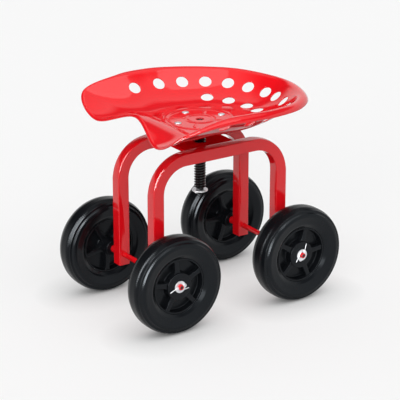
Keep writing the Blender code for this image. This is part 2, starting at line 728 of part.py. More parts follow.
def rim_turns():
    """Shares of the way round, spaced along the ridge and closer where it bends."""
    samples = 16 * RIM_STEPS
    points = [ridge(i / samples) for i in range(-1, samples + 2)]
    reach = [0.0]
    for before, one, two, after in zip(points, points[1:], points[2:], points[3:]):
        bend = ((one - before).angle(two - one) + (two - one).angle(after - two)) / 2
        reach.append(reach[-1] + (two - one).length + RIM_BEND_WEIGHT * bend)
    turns = []
    for step in range(RIM_STEPS):
        target = reach[-1] * step / RIM_STEPS
        i = max(k for k in range(samples) if reach[k] <= target)
        turns.append((i + (target - reach[i]) / (reach[i + 1] - reach[i])) / samples)
    return turns


def pan_rings():
    """Rings of the pan's upper face from the floor out to the free edge, with the floor at height 0."""
    turns = rim_turns()
    bead = [
        (PAN_LEVEL_RADIUS, 0.0),
        (PAN_LEVEL_RADIUS + BEAD_RING_WIDTH / 2, BEAD_RING_HEIGHT),
    ]
    rings = []
    for radius, height in bead:
        ring = []
        for turn in turns:
            point = (wall_point(turn, 0.0).xy.normalized() * radius).to_3d()
            point.z = height + pommel(point)
            ring.append(point)
        rings.append(ring)
    for step in range(WALL_STEPS):
        share = (step / WALL_STEPS) ** WALL_SPACING
        rings.append([wall_point(turn, share) for turn in turns])
    for step in range(LIP_STEPS + 1):
        rings.append([lip_point(turn, step / LIP_STEPS) for turn in turns])
    return rings


def pan_mesh():
    bm = bmesh.new()
    rows = [[bm.verts.new(point) for point in ring] for ring in pan_rings()]
    bm.faces.new(rows[0])
    for one, two in zip(rows, rows[1:]):
        for i in range(RIM_STEPS):
            j = (i + 1) % RIM_STEPS
            bm.faces.new((one[i], two[i], two[j], one[j]))
    mesh = bpy.data.meshes.new("seat_pan")
    bm.to_mesh(mesh)
    bm.free()
    mesh.shade_smooth()
    return mesh


def pan_normal(turn, share):
    step = 0.01
    around = wall_point(turn + step, share) - wall_point(turn - step, share)
    outward = wall_point(turn, share + step) - wall_point(turn, share - step)
    return outward.cross(around).normalized()


def turn_towards(angle, centre_x, share):
    """Share of the way round at which the wall lies in this direction from a point on the centre line."""
    low, high = 0.0, 0.5
    for _ in range(40):
        middle = (low + high) / 2
        point = wall_point(middle, share)
        if atan2(point.y, point.x - centre_x) < angle:
            low = middle
        else:
            high = middle
    return low


def share_at_radius(turn, radius):
    return (radius - PAN_FLOOR_RADIUS) / (lip_point(turn, 0.0).xy.length - PAN_FLOOR_RADIUS)


def pan_holes():
    """Cutters for the two rows of holes, square to the wall, and for the holes in the floor."""
    places = []
    for i in range(OUTER_HOLES_PER_SIDE):
        angle = OUTER_HOLE_FIRST + i * OUTER_HOLE_PITCH
        turn = turn_towards(angle, OUTER_HOLE_CENTRE, OUTER_HOLE_REACH)
        places.append((turn, OUTER_HOLE_REACH))
    for i in range(INNER_HOLES_PER_SIDE):
        turn = turn_towards(INNER_HOLE_FIRST + i * INNER_HOLE_PITCH, 0.0, 0.5)
        places.append((turn, share_at_radius(turn, INNER_HOLE_RADIUS)))
    cutters = []
    for turn, share in places:
        for place in (turn, -turn):
            matrix = along(pan_normal(place, share), wall_point(place, share))
            length = 8 * PAN_THICKNESS
            cutters.append(cylinder_cutter("hole", HOLE_DIAMETER / 2, length, matrix, HOLE_FACETS))
    centre = cylinder_cutter("hole", CENTRE_HOLE_DIAMETER / 2, 8 * PAN_THICKNESS, Matrix(), HOLE_FACETS)
    return cutters + [centre] + bolt_holes(0.0)


def make_seat_pan(seat, red):
    pan = add_object("seat_pan", pan_mesh(), red, seat)
    pan.location = (0.0, 0.0, SEAT_HEIGHT)
    shell = pan.modifiers.new("sheet", "SOLIDIFY")
    shell.thickness = PAN_THICKNESS
    shell.offset = -1.0
    shell.use_even_offset = True
    cut(pan, pan_holes())


def main():
    clear_scene()
    red = material("red_powder_coat", (0.62, 0.012, 0.02), 0.25, 0.0)
    rubber = material("black_rubber", (0.012, 0.012, 0.013), 0.6, 0.0)
    plastic = material("black_moulded_plastic", (0.016, 0.016, 0.017), 0.45, 0.0)
    zinc = material("zinc_plate", (0.62, 0.62, 0.64), 0.3, 1.0)
    steel = material("black_oxide_steel", (0.02, 0.02, 0.022), 0.4, 0.9)
    chassis = group("chassis", (0.0, 0.0, 0.0))
    lift = group("post_stop", (0.0, 0.0, 0.0), chassis)
    seat = group("seat", (0.0, 0.0, 0.0), lift)
    make_side_frames(chassis, red)
    make_axles(chassis, red)
    make_wheel_hardware(chassis, red, zinc)
    make_cross_plate(chassis, red)
    make_wheels(chassis, rubber, plastic)
    make_post(seat, lift, steel, zinc)
    make_seat_plate(seat, red, zinc)
    make_seat_pan(seat, red)


main()
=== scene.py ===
# %% [markdown]
# # A rolling garden seat
# A stamped steel tractor-style pan turns on a screw post, over two bent square-tube arches on four
# wheels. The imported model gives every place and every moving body. This lesson makes the surfaces that
# the eye meets: rolled sheet, powder coat, moulded rubber and plastic, plated hardware. Each cell makes
# one piece or one finish, and prints what it made.

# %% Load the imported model
import json
from functools import lru_cache
from math import acos, atan2, cos, pi, radians, sin, tan, tau

import bmesh
import bpy
from mathutils import Matrix, Vector

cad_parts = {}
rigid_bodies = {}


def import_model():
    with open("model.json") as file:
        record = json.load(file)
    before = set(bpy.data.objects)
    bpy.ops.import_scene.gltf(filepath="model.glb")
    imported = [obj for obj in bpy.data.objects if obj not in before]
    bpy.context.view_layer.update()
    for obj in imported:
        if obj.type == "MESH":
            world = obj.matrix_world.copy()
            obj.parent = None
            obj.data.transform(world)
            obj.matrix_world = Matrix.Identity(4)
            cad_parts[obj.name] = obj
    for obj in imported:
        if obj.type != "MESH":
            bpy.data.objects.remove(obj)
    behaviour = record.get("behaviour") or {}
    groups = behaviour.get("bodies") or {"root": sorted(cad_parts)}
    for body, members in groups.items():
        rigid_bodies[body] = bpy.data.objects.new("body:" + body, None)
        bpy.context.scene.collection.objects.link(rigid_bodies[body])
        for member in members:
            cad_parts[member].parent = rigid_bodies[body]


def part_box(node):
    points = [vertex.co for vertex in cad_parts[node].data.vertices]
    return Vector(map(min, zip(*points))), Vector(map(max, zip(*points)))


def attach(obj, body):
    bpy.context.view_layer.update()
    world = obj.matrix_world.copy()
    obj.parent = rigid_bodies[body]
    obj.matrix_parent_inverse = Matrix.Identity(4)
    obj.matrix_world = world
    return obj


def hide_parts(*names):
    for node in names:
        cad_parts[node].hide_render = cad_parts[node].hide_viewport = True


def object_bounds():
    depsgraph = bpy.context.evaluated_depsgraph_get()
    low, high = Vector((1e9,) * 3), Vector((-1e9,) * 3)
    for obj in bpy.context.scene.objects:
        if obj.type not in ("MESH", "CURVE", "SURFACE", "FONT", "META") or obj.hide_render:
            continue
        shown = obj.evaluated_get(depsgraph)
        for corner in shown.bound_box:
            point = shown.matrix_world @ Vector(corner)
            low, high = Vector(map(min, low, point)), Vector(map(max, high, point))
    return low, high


MM = 0.001
for leftover in list(bpy.data.objects):
    bpy.data.objects.remove(leftover, do_unlink=True)
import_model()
CAD_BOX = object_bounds()

# %% [markdown]
# ## Camera
# A camera can be matched to a photograph by eye, or by solving for the view that puts known points where
# the picture shows them. Solving is surer: the wheel centres and tube corners gave this place, aim and
# lens. A long lens far away keeps the wheels nearly alike in size.

# %% Camera at the photograph's viewing angle
CAMERA_PLACE = Vector((-1.6827, -2.4790, 1.2760))
CAMERA_AIM = Vector((-0.0258, -0.0383, 0.2018))
CAMERA_LENS = 155.02

camera_data = bpy.data.cameras.new("camera")
camera_data.lens = CAMERA_LENS
camera = bpy.data.objects.new("camera", camera_data)
camera.location = CAMERA_PLACE
camera.rotation_euler = (CAMERA_AIM - CAMERA_PLACE).to_track_quat("-Z", "Y").to_euler()
bpy.context.scene.collection.objects.link(camera)
bpy.context.scene.camera = camera
print("camera is", round((CAMERA_AIM - CAMERA_PLACE).length, 2), "m from its aim")

# %% [markdown]
# ## Helpers for shaders
# Colours are given as sRGB hex codes, but shaders work in linear light, so one function
# converts them. Node trees get long when each node takes five lines, so one function adds a node with
# its settings, and fills or links its inputs. No real finish is quite even, so one more function lets a
# finish drift between two colours and two roughnesses in patches of a real size.

# %% Shader helpers
def linear(hex_code):
    """Linear RGBA of an sRGB hex colour such as '#E02028'."""
    channels = [int(hex_code[i:i + 2], 16) / 255 for i in (1, 3, 5)]
    return [c / 12.92 if c <= 0.04045 else ((c + 0.055) / 1.055) ** 2.4 for c in channels] + [1.0]


def fill(tree, node, inputs):
    """Fill a node's inputs: each gets either a plain value or the socket that feeds it."""
    for name, value in inputs.items():
        if isinstance(value, bpy.types.NodeSocket):
            tree.links.new(value, node.inputs[name])
        else:
            node.inputs[name].default_value = value


def add_node(tree, kind, inputs=None, **settings):
    """Add a node with its settings, and fill its inputs."""
    node = tree.nodes.new(kind)
    for name, value in settings.items():
        setattr(node, name, value)
    fill(tree, node, inputs or {})
    return node


def start_material(name, sockets):
    """A material with plain values on its Principled shader; returns it, its tree and its shader."""
    made = bpy.data.materials.new(name)
    made.use_nodes = True
    shader = made.node_tree.nodes["Principled BSDF"]
    fill(made.node_tree, shader, sockets)
    return made, made.node_tree, shader


def per_metre(size_mm):
    """Noise scale that gives features of this size in millimetres."""
    return 1.0 / (size_mm * MM)


def mottled(tree, shader, size_mm, detail, colours, roughness):
    """Patches of one size that drift between two colours and two roughnesses.

    Returns the place on the piece and the node that gives the roughness.
    """
    place = add_node(tree, "ShaderNodeTexCoord").outputs["Object"]
    patches = add_node(tree, "ShaderNodeTexNoise", {
        "Vector": place, "Scale": per_metre(size_mm), "Detail": detail}).outputs["Fac"]
    tone = add_node(tree, "ShaderNodeMix", {
        "Factor": patches, "A": linear(colours[0]), "B": linear(colours[1])}, data_type="RGBA")
    rough = add_node(tree, "ShaderNodeMapRange", {
        "Value": patches, "To Min": roughness[0], "To Max": roughness[1]})
    fill(tree, shader, {"Base Color": tone.outputs["Result"], "Roughness": rough.outputs["Result"]})
    return place, rough


def shown_ray(tree):
    """1 for rays from the eye, and for those that gloss and glass send on; 0 for scattered light."""
    ray = add_node(tree, "ShaderNodeLightPath")
    seen = add_node(tree, "ShaderNodeMath", {
        0: ray.outputs["Is Camera Ray"], 1: ray.outputs["Is Glossy Ray"]}, operation="MAXIMUM")
    either = add_node(tree, "ShaderNodeMath", {
        0: seen.outputs[0], 1: ray.outputs["Is Transmission Ray"]}, operation="MAXIMUM")
    return either.outputs[0]


print("mid grey as linear light:", round(linear("#808080")[0], 3))

# %% [markdown]
# ## Studio floor
# The seat stands on a seamless sheet of pale paper. A lamp bright enough to burn the paper white would
# also wash out the paint, so the paper itself is pale and the light stays plain. Part of what the eye
# sees of it is a glow with a painted contact shadow, darkened through Ambient Occlusion close to what
# stands on it. The light that it throws back up is dimmer, as from a small sweep.

# %% Paper floor
PAPER = "#F6F6F6"
PAPER_FIBRE = "#F5F5F5"
PAPER_BOUNCE = "#8C8C8C"
PAPER_GLOW = 0.6              # glowing share of the paper, which carries a painted contact shadow
SHADE_REACH = 0.08            # metres that the painted contact shadow reaches
FIBRE_MM = 40.0               # clouds in the paper, drawn coarser than its fibres
FLOOR_RADIUS = 14.0
FLOOR_SIDES = 96

paper, tree, shader = start_material("studio_paper", {
    "Base Color": linear(PAPER_BOUNCE), "Roughness": 0.9, "Specular IOR Level": 0.1})
fibre = add_node(tree, "ShaderNodeTexNoise", {"Scale": per_metre(FIBRE_MM), "Detail": 3.0})
tint = add_node(tree, "ShaderNodeMix", {
    "Factor": fibre.outputs["Fac"], "A": linear(PAPER), "B": linear(PAPER_FIBRE)}, data_type="RGBA")
# painted contact shadow: Ambient Occlusion darkens the paper's glow close to what stands on it
painted_contact_shadow = add_node(tree, "ShaderNodeAmbientOcclusion", {
    "Color": tint.outputs["Result"], "Distance": SHADE_REACH}, samples=24)
lit = add_node(tree, "ShaderNodeBsdfDiffuse", {"Color": tint.outputs["Result"]})
pale = add_node(tree, "ShaderNodeEmission", {"Color": painted_contact_shadow.outputs["Color"], "Strength": 1.0})
seen_paper = add_node(tree, "ShaderNodeMixShader", {
    0: PAPER_GLOW, 1: lit.outputs[0], 2: pale.outputs[0]})
paper_mix = add_node(tree, "ShaderNodeMixShader", {
    0: shown_ray(tree), 1: shader.outputs[0], 2: seen_paper.outputs[0]})
fill(tree, tree.nodes["Material Output"], {"Surface": paper_mix.outputs[0]})

floor_bm = bmesh.new()
bmesh.ops.create_circle(floor_bm, cap_ends=True, segments=FLOOR_SIDES, radius=FLOOR_RADIUS)
floor_mesh = bpy.data.meshes.new("floor")
floor_bm.to_mesh(floor_mesh)
floor_bm.free()
floor_mesh.materials.append(paper)
floor = bpy.data.objects.new("floor", floor_mesh)
floor.location.z = CAD_BOX[0].z
bpy.context.scene.collection.objects.link(floor)
print("floor lies at", round(floor.location.z / MM, 1), "mm")

# %% [markdown]
# ## Surroundings
# Gloss shows whatever stands round an object. Here that is white near the horizon, like the far end of
# the sweep, grey above it, bright overhead, and dim on one side like the dark end of a room, so that each
# curve of the paint has something to show. Matt surfaces get a plain glow that grows towards the top.

# %% Surroundings
# what the camera and gloss see of the surroundings, from level (0) to straight up (1)
STUDIO_BANDS = [
    (0.0, "#F6F6F6"),
    (0.44, "#F6F6F6"),
    (0.52, "#606064"),
    (0.68, "#606064"),
    (0.78, "#F2F2F2"),
]
DIM_SHADE = "#3C3C40"
DIM_SIDE = Vector((-0.58, 0.74, 0.34))       # the studio is dim on this side
DIM_SPREAD = (radians(52), radians(30))      # plain beyond the first angle, fully dim within the second
DIM_LEVELS = (0.18, 0.32)     # white sweep below the first, fully dim above the second
LIGHT_HORIZON = 0.06          # what the surroundings give to matt surfaces, from level upward
LIGHT_OVERHEAD = 0.92

world = bpy.data.worlds.new("studio")
world.use_nodes = True
bpy.context.scene.world = world
sky = world.node_tree
sky.nodes.clear()
direction = add_node(sky, "ShaderNodeTexCoord")
height = add_node(sky, "ShaderNodeSeparateXYZ", {"Vector": direction.outputs["Generated"]})
bands = add_node(sky, "ShaderNodeValToRGB", {"Fac": height.outputs["Z"]})
stops = bands.color_ramp.elements
for level, shade in STUDIO_BANDS[2:]:        # a new ramp already has two stops
    stops.new(level)
for stop, (level, shade) in zip(stops, STUDIO_BANDS):
    stop.position = level
    stop.color = linear(shade)
aside = add_node(sky, "ShaderNodeVectorMath", {
    0: direction.outputs["Generated"], 1: DIM_SIDE.normalized()}, operation="DOT_PRODUCT")
dim = add_node(sky, "ShaderNodeMapRange", {
    "Value": aside.outputs["Value"], "From Min": cos(DIM_SPREAD[0]), "From Max": cos(DIM_SPREAD[1])},
    interpolation_type="SMOOTHSTEP")
above = add_node(sky, "ShaderNodeMapRange", {
    "Value": height.outputs["Z"], "From Min": DIM_LEVELS[0], "From Max": DIM_LEVELS[1]},
    interpolation_type="SMOOTHSTEP")
dim_share = add_node(sky, "ShaderNodeMath", {
    0: dim.outputs["Result"], 1: above.outputs["Result"]}, operation="MULTIPLY")
backdrop = add_node(sky, "ShaderNodeMix", {
    "Factor": dim_share.outputs[0], "A": bands.outputs["Color"], "B": linear(DIM_SHADE)}, data_type="RGBA")
dome = add_node(sky, "ShaderNodeMapRange", {
    "Value": height.outputs["Z"], "To Min": LIGHT_HORIZON, "To Max": LIGHT_OVERHEAD})
glow = add_node(sky, "ShaderNodeBackground", {
    "Color": linear("#FFFFFF"), "Strength": dome.outputs["Result"]})
view = add_node(sky, "ShaderNodeBackground", {"Color": backdrop.outputs["Result"], "Strength": 1.0})
either = add_node(sky, "ShaderNodeMixShader", {
    0: shown_ray(sky), 1: glow.outputs[0], 2: view.outputs[0]})
add_node(sky, "ShaderNodeOutputWorld", {"Surface": either.outputs[0]})
print("surroundings have", len(STUDIO_BANDS), "stops and one dim side")

# %% [markdown]
# ## Lamps
# Two broad lamps, one overhead and one low in front, give the plain light. Three softboxes are seen by
# gloss alone: they draw the streaks along the bends, the tyre shoulders and the rolled lip, and leave the
# level of light on matt surfaces as it is.

# %% Lamps and softboxes
LAMPS = {                                    # towards each broad lamp, and its strength
    "overhead": (Vector((0.0, -0.42, 0.91)), 1.0),
    "front_fill": (Vector((-0.72, -0.69, 0.08)), 2.9),
}
LAMP_SPREAD = radians(60)
SOFTBOXES = {                                # place, width and height in metres, watts
    "bend_strip": (Vector((-1.50, 0.55, 1.05)), 0.4, 1.7, 50.0),
    "shoulder_strip": (Vector((-1.60, -0.62, 1.05)), 0.4, 1.7, 50.0),
    "front_box": (Vector((-0.20, -0.85, 1.50)), 0.7, 0.35, 9.0),
}
SOFTBOX_AIM = Vector((0.0, 0.0, 0.2))


def hang_lamp(name, kind, energy, heading):
    """A lamp that shines along a heading."""
    lamp = bpy.data.lights.new(name, kind)
    lamp.energy = energy
    holder = bpy.data.objects.new(name, lamp)
    holder.rotation_euler = heading.to_track_quat("-Z", "Y").to_euler()
    bpy.context.scene.collection.objects.link(holder)
    return holder


for name, (towards, strength) in LAMPS.items():
    hang_lamp(name, "SUN", strength, -towards).data.angle = LAMP_SPREAD
for name, (stand, width, tall, watts) in SOFTBOXES.items():
    softbox = hang_lamp(name, "AREA", watts, SOFTBOX_AIM - stand)
    softbox.location = stand
    softbox.data.shape = "RECTANGLE"
    softbox.data.size = width
    softbox.data.size_y = tall
    softbox.visible_camera = False
    softbox.visible_diffuse = False
bpy.context.scene.view_settings.view_transform = "Standard"
print("studio has", len(LAMPS), "broad lamps and", len(SOFTBOXES), "softboxes")

# %% [markdown]
# ## Red powder coat
# The sheet, tubes and plates are sprayed with dry polyester powder and baked. The film flows before it
# sets, which leaves a deep gloss with a faint ripple called orange peel. A noise bump of a few
# millimetres gives the ripple; the colour drifts a little where the film is thicker. The flat plate
# between the arches gets a thinner, duller film, so it has a copy of the material with less gloss.

# %% Red powder coat
PEEL_MM = 3.0           # ripple of the baked film
DRIFT_MM = 55.0         # patches of thicker and thinner film
FILM_REDS = ("#E6101B", "#DE0D18")
FILM_ROUGHNESS = (0.05, 0.09)
THIN_FILM_ROUGHNESS = (0.35, 0.45)

red_paint, tree, shader = start_material("red_powder_coat", {"IOR": 1.5, "Specular IOR Level": 0.5})
place, gloss = mottled(tree, shader, DRIFT_MM, 2.0, FILM_REDS, FILM_ROUGHNESS)
peel = add_node(tree, "ShaderNodeTexNoise", {
    "Vector": place, "Scale": per_metre(PEEL_MM), "Detail": 1.0})
ripple = add_node(tree, "ShaderNodeBump", {
    "Height": peel.outputs["Fac"], "Strength": 0.25, "Distance": 0.03 * MM})
fill(tree, shader, {"Normal": ripple.outputs["Normal"]})

dull_paint = red_paint.copy()
dull_paint.name = "thin_red_powder_coat"
tree = dull_paint.node_tree
fill(tree, tree.nodes[shader.name], {"Specular IOR Level": 0.0})
fill(tree, tree.nodes[gloss.name], {"To Min": THIN_FILM_ROUGHNESS[0], "To Max": THIN_FILM_ROUGHNESS[1]})
print("made", red_paint.name, "and", dull_paint.name)

# %% [markdown]
# ## Moulded black rubber
# The tyres are solid rubber pressed in a steel mould. Carbon black makes them nearly black. The mould's
# polished walls leave a smooth skin that mirrors lamps softly, with a slight waviness; the ribbed tread
# comes out duller, so its shine is a lower value, chosen by the distance from the axle.

# %% Black tyre rubber
RUBBER_GRAIN_MM = 0.9   # drawn coarser than the mould's real grain, so that it still shows
BLOOM_MM = 18.0         # patches where wax comes to the surface
RUBBER_BLACKS = ("#0D0F12", "#131518")
RUBBER_ROUGHNESS = (0.13, 0.19)
WALL_SHINE = 0.18       # the polished walls shine, the tread is duller
TREAD_SHINE = 0.11
COOL_SHINE = "#EEF7FF"  # carbon black gives reflections a slightly cool cast
TREAD_RADIUS = (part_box("tyre_front_left")[1].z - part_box("tyre_front_left")[0].z) / 2
TREAD_EDGE = (TREAD_RADIUS - 3.3 * MM, TREAD_RADIUS - 2.9 * MM)

tyre_rubber, tree, shader = start_material("moulded_black_rubber", {
    "IOR": 1.52, "Specular Tint": linear(COOL_SHINE)})
place = mottled(tree, shader, BLOOM_MM, 3.0, RUBBER_BLACKS, RUBBER_ROUGHNESS)[0]
across_axle = add_node(tree, "ShaderNodeVectorMath", {0: place, 1: (1.0, 1.0, 0.0)}, operation="MULTIPLY")
reach = add_node(tree, "ShaderNodeVectorMath", {0: across_axle.outputs["Vector"]}, operation="LENGTH")
shine = add_node(tree, "ShaderNodeMapRange", {
    "Value": reach.outputs["Value"], "From Min": TREAD_EDGE[0], "From Max": TREAD_EDGE[1],
    "To Min": WALL_SHINE, "To Max": TREAD_SHINE})
grain = add_node(tree, "ShaderNodeTexNoise", {
    "Vector": place, "Scale": per_metre(RUBBER_GRAIN_MM), "Detail": 3.0})
skin_bump = add_node(tree, "ShaderNodeBump", {
    "Height": grain.outputs["Fac"], "Strength": 0.2, "Distance": 0.05 * MM})
fill(tree, shader, {
    "Specular IOR Level": shine.outputs["Result"], "Normal": skin_bump.outputs["Normal"]})
print("made", tyre_rubber.name)

# %% [markdown]
# ## Black polypropylene
# The wheel centres are injection moulded. The mould is spark eroded, which gives the plastic an even
# stipple and a softer sheen than the paint, and a wider one than the rubber round it.

# %% Black moulded plastic
STIPPLE_MM = 0.8        # coarser than the real spark texture, so that it still shows
FLOW_MM = 25.0          # patches left by the flow of the melt
PLASTIC_BLACKS = ("#0D0E11", "#121417")
PLASTIC_ROUGHNESS = (0.20, 0.28)

wheel_plastic, tree, shader = start_material("moulded_black_polypropylene", {
    "IOR": 1.49, "Specular IOR Level": 0.18, "Specular Tint": linear(COOL_SHINE)})
place = mottled(tree, shader, FLOW_MM, 2.0, PLASTIC_BLACKS, PLASTIC_ROUGHNESS)[0]
stipple = add_node(tree, "ShaderNodeTexVoronoi", {"Vector": place, "Scale": per_metre(STIPPLE_MM)})
stipple_bump = add_node(tree, "ShaderNodeBump", {
    "Height": stipple.outputs["Distance"], "Strength": 0.15, "Distance": 0.04 * MM})
fill(tree, shader, {"Normal": stipple_bump.outputs["Normal"]})
print("made", wheel_plastic.name)

# %% [markdown]
# ## Bright zinc plate
# Washers, split pins, bolts and nuts are steel with a thin electroplated zinc skin. It is a metal, so its
# colour is the colour of its reflections: a cool pale grey, with cloudy patches left by the plating bath.

# %% Zinc plate
CLOUD_MM = 4.0          # cloudy patches in the plating
ZINC_GREYS = ("#D2D4D8", "#E9EAEC")
ZINC_ROUGHNESS = (0.32, 0.5)

zinc_plate, tree, shader = start_material("bright_zinc_plate", {"Metallic": 1.0})
mottled(tree, shader, CLOUD_MM, 4.0, ZINC_GREYS, ZINC_ROUGHNESS)
print("made", zinc_plate.name)

# %% [markdown]
# ## Black oxide steel
# The screw post is bare steel, blackened in a hot salt bath and oiled. What the eye meets is the oil film
# on a nearly black oxide, so this is a dark glossy coat and not a bright metal, with oilier and drier
# patches.

# %% Black oxide steel
OIL_MM = 7.0            # oilier and drier patches
OXIDE_BLACKS = ("#040405", "#080809")
OXIDE_ROUGHNESS = (0.10, 0.18)

black_oxide, tree, shader = start_material("black_oxide_steel", {"IOR": 1.6, "Specular IOR Level": 0.35})
mottled(tree, shader, OIL_MM, 4.0, OXIDE_BLACKS, OXIDE_ROUGHNESS)
print("made", black_oxide.name)

# %% [markdown]
# ## Helpers for meshes
# Nearly every piece here is a stack of rings: a turned part, a bent tube, a rolled rim. One function
# skins rings with quads, one turns a profile, one rounds the corners of an outline, and one places a
# finished piece on the body that carries it, in place of the plain solid.

# %% Rings and outlines
SAME_POINT = 0.002 * MM       # points closer than this are one
SHARP = 40.0                  # edges that turn by more degrees than this stay crisp
SIDE_SHARE = 0.48             # an arc takes at most this share of a side


def mesh_from(name, bm, sharp_angle=SHARP):
    """Close a bmesh into a mesh with smooth shading and crisp edges."""
    bmesh.ops.remove_doubles(bm, verts=bm.verts, dist=SAME_POINT)
    bmesh.ops.recalc_face_normals(bm, faces=bm.faces)
    mesh = bpy.data.meshes.new(name)
    bm.to_mesh(mesh)
    bm.free()
    mesh.shade_smooth()
    mesh.set_sharp_from_angle(angle=radians(sharp_angle))
    return mesh


def ring_mesh(name, rings, joined=False, sharp_angle=SHARP):
    """Quads between rings of equal length; joined closes the stack, otherwise both ends are capped."""
    bm = bmesh.new()
    rows = [[bm.verts.new(point) for point in ring] for ring in rings]
    pairs = list(zip(rows, rows[1:]))
    if joined:
        pairs.append((rows[-1], rows[0]))
    for one, two in pairs:
        for i in range(len(one)):
            j = (i + 1) % len(one)
            bm.faces.new((one[i], one[j], two[j], two[i]))
    if not joined:
        bm.faces.new(rows[0])
        bm.faces.new(rows[-1])
    return mesh_from(name, bm, sharp_angle)


def rounded(corners, arc, steps=4, hold=0.0):
    """Outline with its corners turned into arcs; a corner may give its own arc as a third number.

    With hold, extra points that share of a side beyond each arc keep the flats shading flat.
    """
    outline = []
    for i, corner in enumerate(corners):
        tip = Vector(corner[:2])
        before = Vector(corners[i - 1][:2]) - tip
        after = Vector(corners[(i + 1) % len(corners)][:2]) - tip
        radius = corner[2] if len(corner) > 2 else arc
        side = min(before.length, after.length)
        reach = min(radius / tan(before.angle(after) / 2), SIDE_SHARE * side)
        start = tip + reach * before.normalized()
        end = tip + reach * after.normalized()
        if hold:
            outline.append(start + hold * before)
        for step in range(steps + 1):
            t = step / steps
            outline.append((1 - t) ** 2 * start + 2 * t * (1 - t) * tip + t ** 2 * end)
        if hold:
            outline.append(end + hold * after)
    return outline


def circle(radius, sides, height):
    """Ring of points about Z."""
    angles = [tau * i / sides for i in range(sides)]
    return [Vector((radius * cos(angle), radius * sin(angle), height)) for angle in angles]


def turned(name, profile, sides):
    """Revolve a closed outline of (radius, height) about Z."""
    return ring_mesh(name, [circle(r, sides, z) for r, z in profile], True)


print("edges that turn by more than", SHARP, "degrees stay crisp")

# %% Wires and cuts
WIRE_ROUNDNESS = 4            # bevel resolution of a wire
WIRE_SHARP = 50.0
CUT_SHARP = 35.0
TOOL_SIDES = 32


def wire_mesh(name, path, diameter, swell=None, cyclic=False):
    """Round wire along a path, made as a bevelled curve; swell scales its thickness at each point."""
    curve = bpy.data.curves.new(name, "CURVE")
    curve.dimensions = "3D"
    curve.bevel_depth = diameter / 2
    curve.bevel_resolution = WIRE_ROUNDNESS
    curve.use_fill_caps = True
    spline = curve.splines.new("POLY")
    spline.points.add(len(path) - 1)
    spline.use_cyclic_u = cyclic
    for i, point in enumerate(path):
        spline.points[i].co = (*point, 1.0)
        spline.points[i].radius = swell[i] if swell else 1.0
    holder = bpy.data.objects.new(name, curve)
    bpy.context.scene.collection.objects.link(holder)
    evaluated = holder.evaluated_get(bpy.context.evaluated_depsgraph_get())
    mesh = bpy.data.meshes.new_from_object(evaluated)
    bpy.data.objects.remove(holder, do_unlink=True)
    bpy.data.curves.remove(curve)
    bm = bmesh.new()
    bm.from_mesh(mesh)
    bpy.data.meshes.remove(mesh)
    return mesh_from(name, bm, WIRE_SHARP)


def boolean_mesh(name, body, tools, operation):
    """Cut closed meshes out of a body, or join them to it."""
    bm = bmesh.new()
    for tool in tools:
        bm.from_mesh(tool)
        bpy.data.meshes.remove(tool)
    tool_mesh = bpy.data.meshes.new(name + "_tools")
    bm.to_mesh(tool_mesh)
    bm.free()
    holders = [bpy.data.objects.new(mesh.name, mesh) for mesh in (body, tool_mesh)]
    for holder in holders:
        bpy.context.scene.collection.objects.link(holder)
    change = holders[0].modifiers.new("change", "BOOLEAN")
    change.operation = operation
    change.object = holders[1]
    evaluated = holders[0].evaluated_get(bpy.context.evaluated_depsgraph_get())
    mesh = bpy.data.meshes.new_from_object(evaluated)
    mesh.name = name
    for holder in holders:
        bpy.data.objects.remove(holder, do_unlink=True)
    mesh.shade_smooth()
    mesh.set_sharp_from_angle(angle=radians(CUT_SHARP))
    return mesh


def facing(direction, place):
    """Matrix whose Z axis points in a direction."""
    return Matrix.Translation(place) @ Vector(direction).to_track_quat("Z", "Y").to_matrix().to_4x4()


def rod_tool(radius, length, matrix):
    """Closed cylinder about a matrix's Z axis, for cutting holes."""
    mesh = ring_mesh("tool", [circle(radius, TOOL_SIDES, z) for z in (-length / 2, length / 2)])
    mesh.transform(matrix)
    return mesh


print("holes are cut with rods of", TOOL_SIDES, "sides")


# %% Placing pieces
def add_piece(name, mesh, finish, body, nodes=(), place=Matrix()):
    """A finished piece that rides on a body and stands for the plain solids it covers."""
    piece = bpy.data.objects.new(name, mesh)
    bpy.context.scene.collection.objects.link(piece)
    if not mesh.materials:
        mesh.materials.append(finish)
    piece.matrix_world = place
    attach(piece, body)
    if nodes:
        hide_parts(*nodes)
    return piece


def box_centre(node):
    """Middle of a node's box."""
    low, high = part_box(node)
    return (low + high) / 2


SIDES = {"left": -1, "right": 1}         # and the sign of Y there
CORNERS = {"front_left": -1, "front_right": 1, "rear_left": -1, "rear_right": 1}
WHEEL_CENTRES = {corner: box_centre("tyre_" + corner) for corner in CORNERS}
print("wheel centres:", {corner: tuple(round(x, 4) for x in c) for corner, c in WHEEL_CENTRES.items()})

# %% [markdown]
# ## Side frames
# Each side is one length of square steel tube, bent twice into an arch, with its ends open. A curve with
# a square bevel could draw it, but the corner radius and the wall are easier to hold by skinning rounded
# square rings along the path, outside and inside, and joining the two skins at the open ends.

# %% Bent square-tube arches
TUBE = 22.0 * MM
TUBE_WALL = 1.5 * MM
TUBE_CORNER = 1.6 * MM
BEND_RADIUS = 59.0 * MM
BEND_STEPS = 20
TUBE_CORNER_STEPS = 5
BEND_CROWN = 1.6 * MM         # a bend leaves the tube's outer face slightly domed
CROWN_POINTS = 7              # extra points across that face
AXLE = 10.0 * MM
CLEAR = 0.3 * MM


def square_section(side, corner):
    """Rounded square, with extra points on the face that the bend domes."""
    half = side / 2
    corners = [(half, half), (-half, half), (-half, -half), (half, -half)]
    section = rounded(corners, corner, TUBE_CORNER_STEPS)
    first, last = section[0], section[-1]
    return section + [last.lerp(first, (i + 1) / (CROWN_POINTS + 1)) for i in range(CROWN_POINTS)]


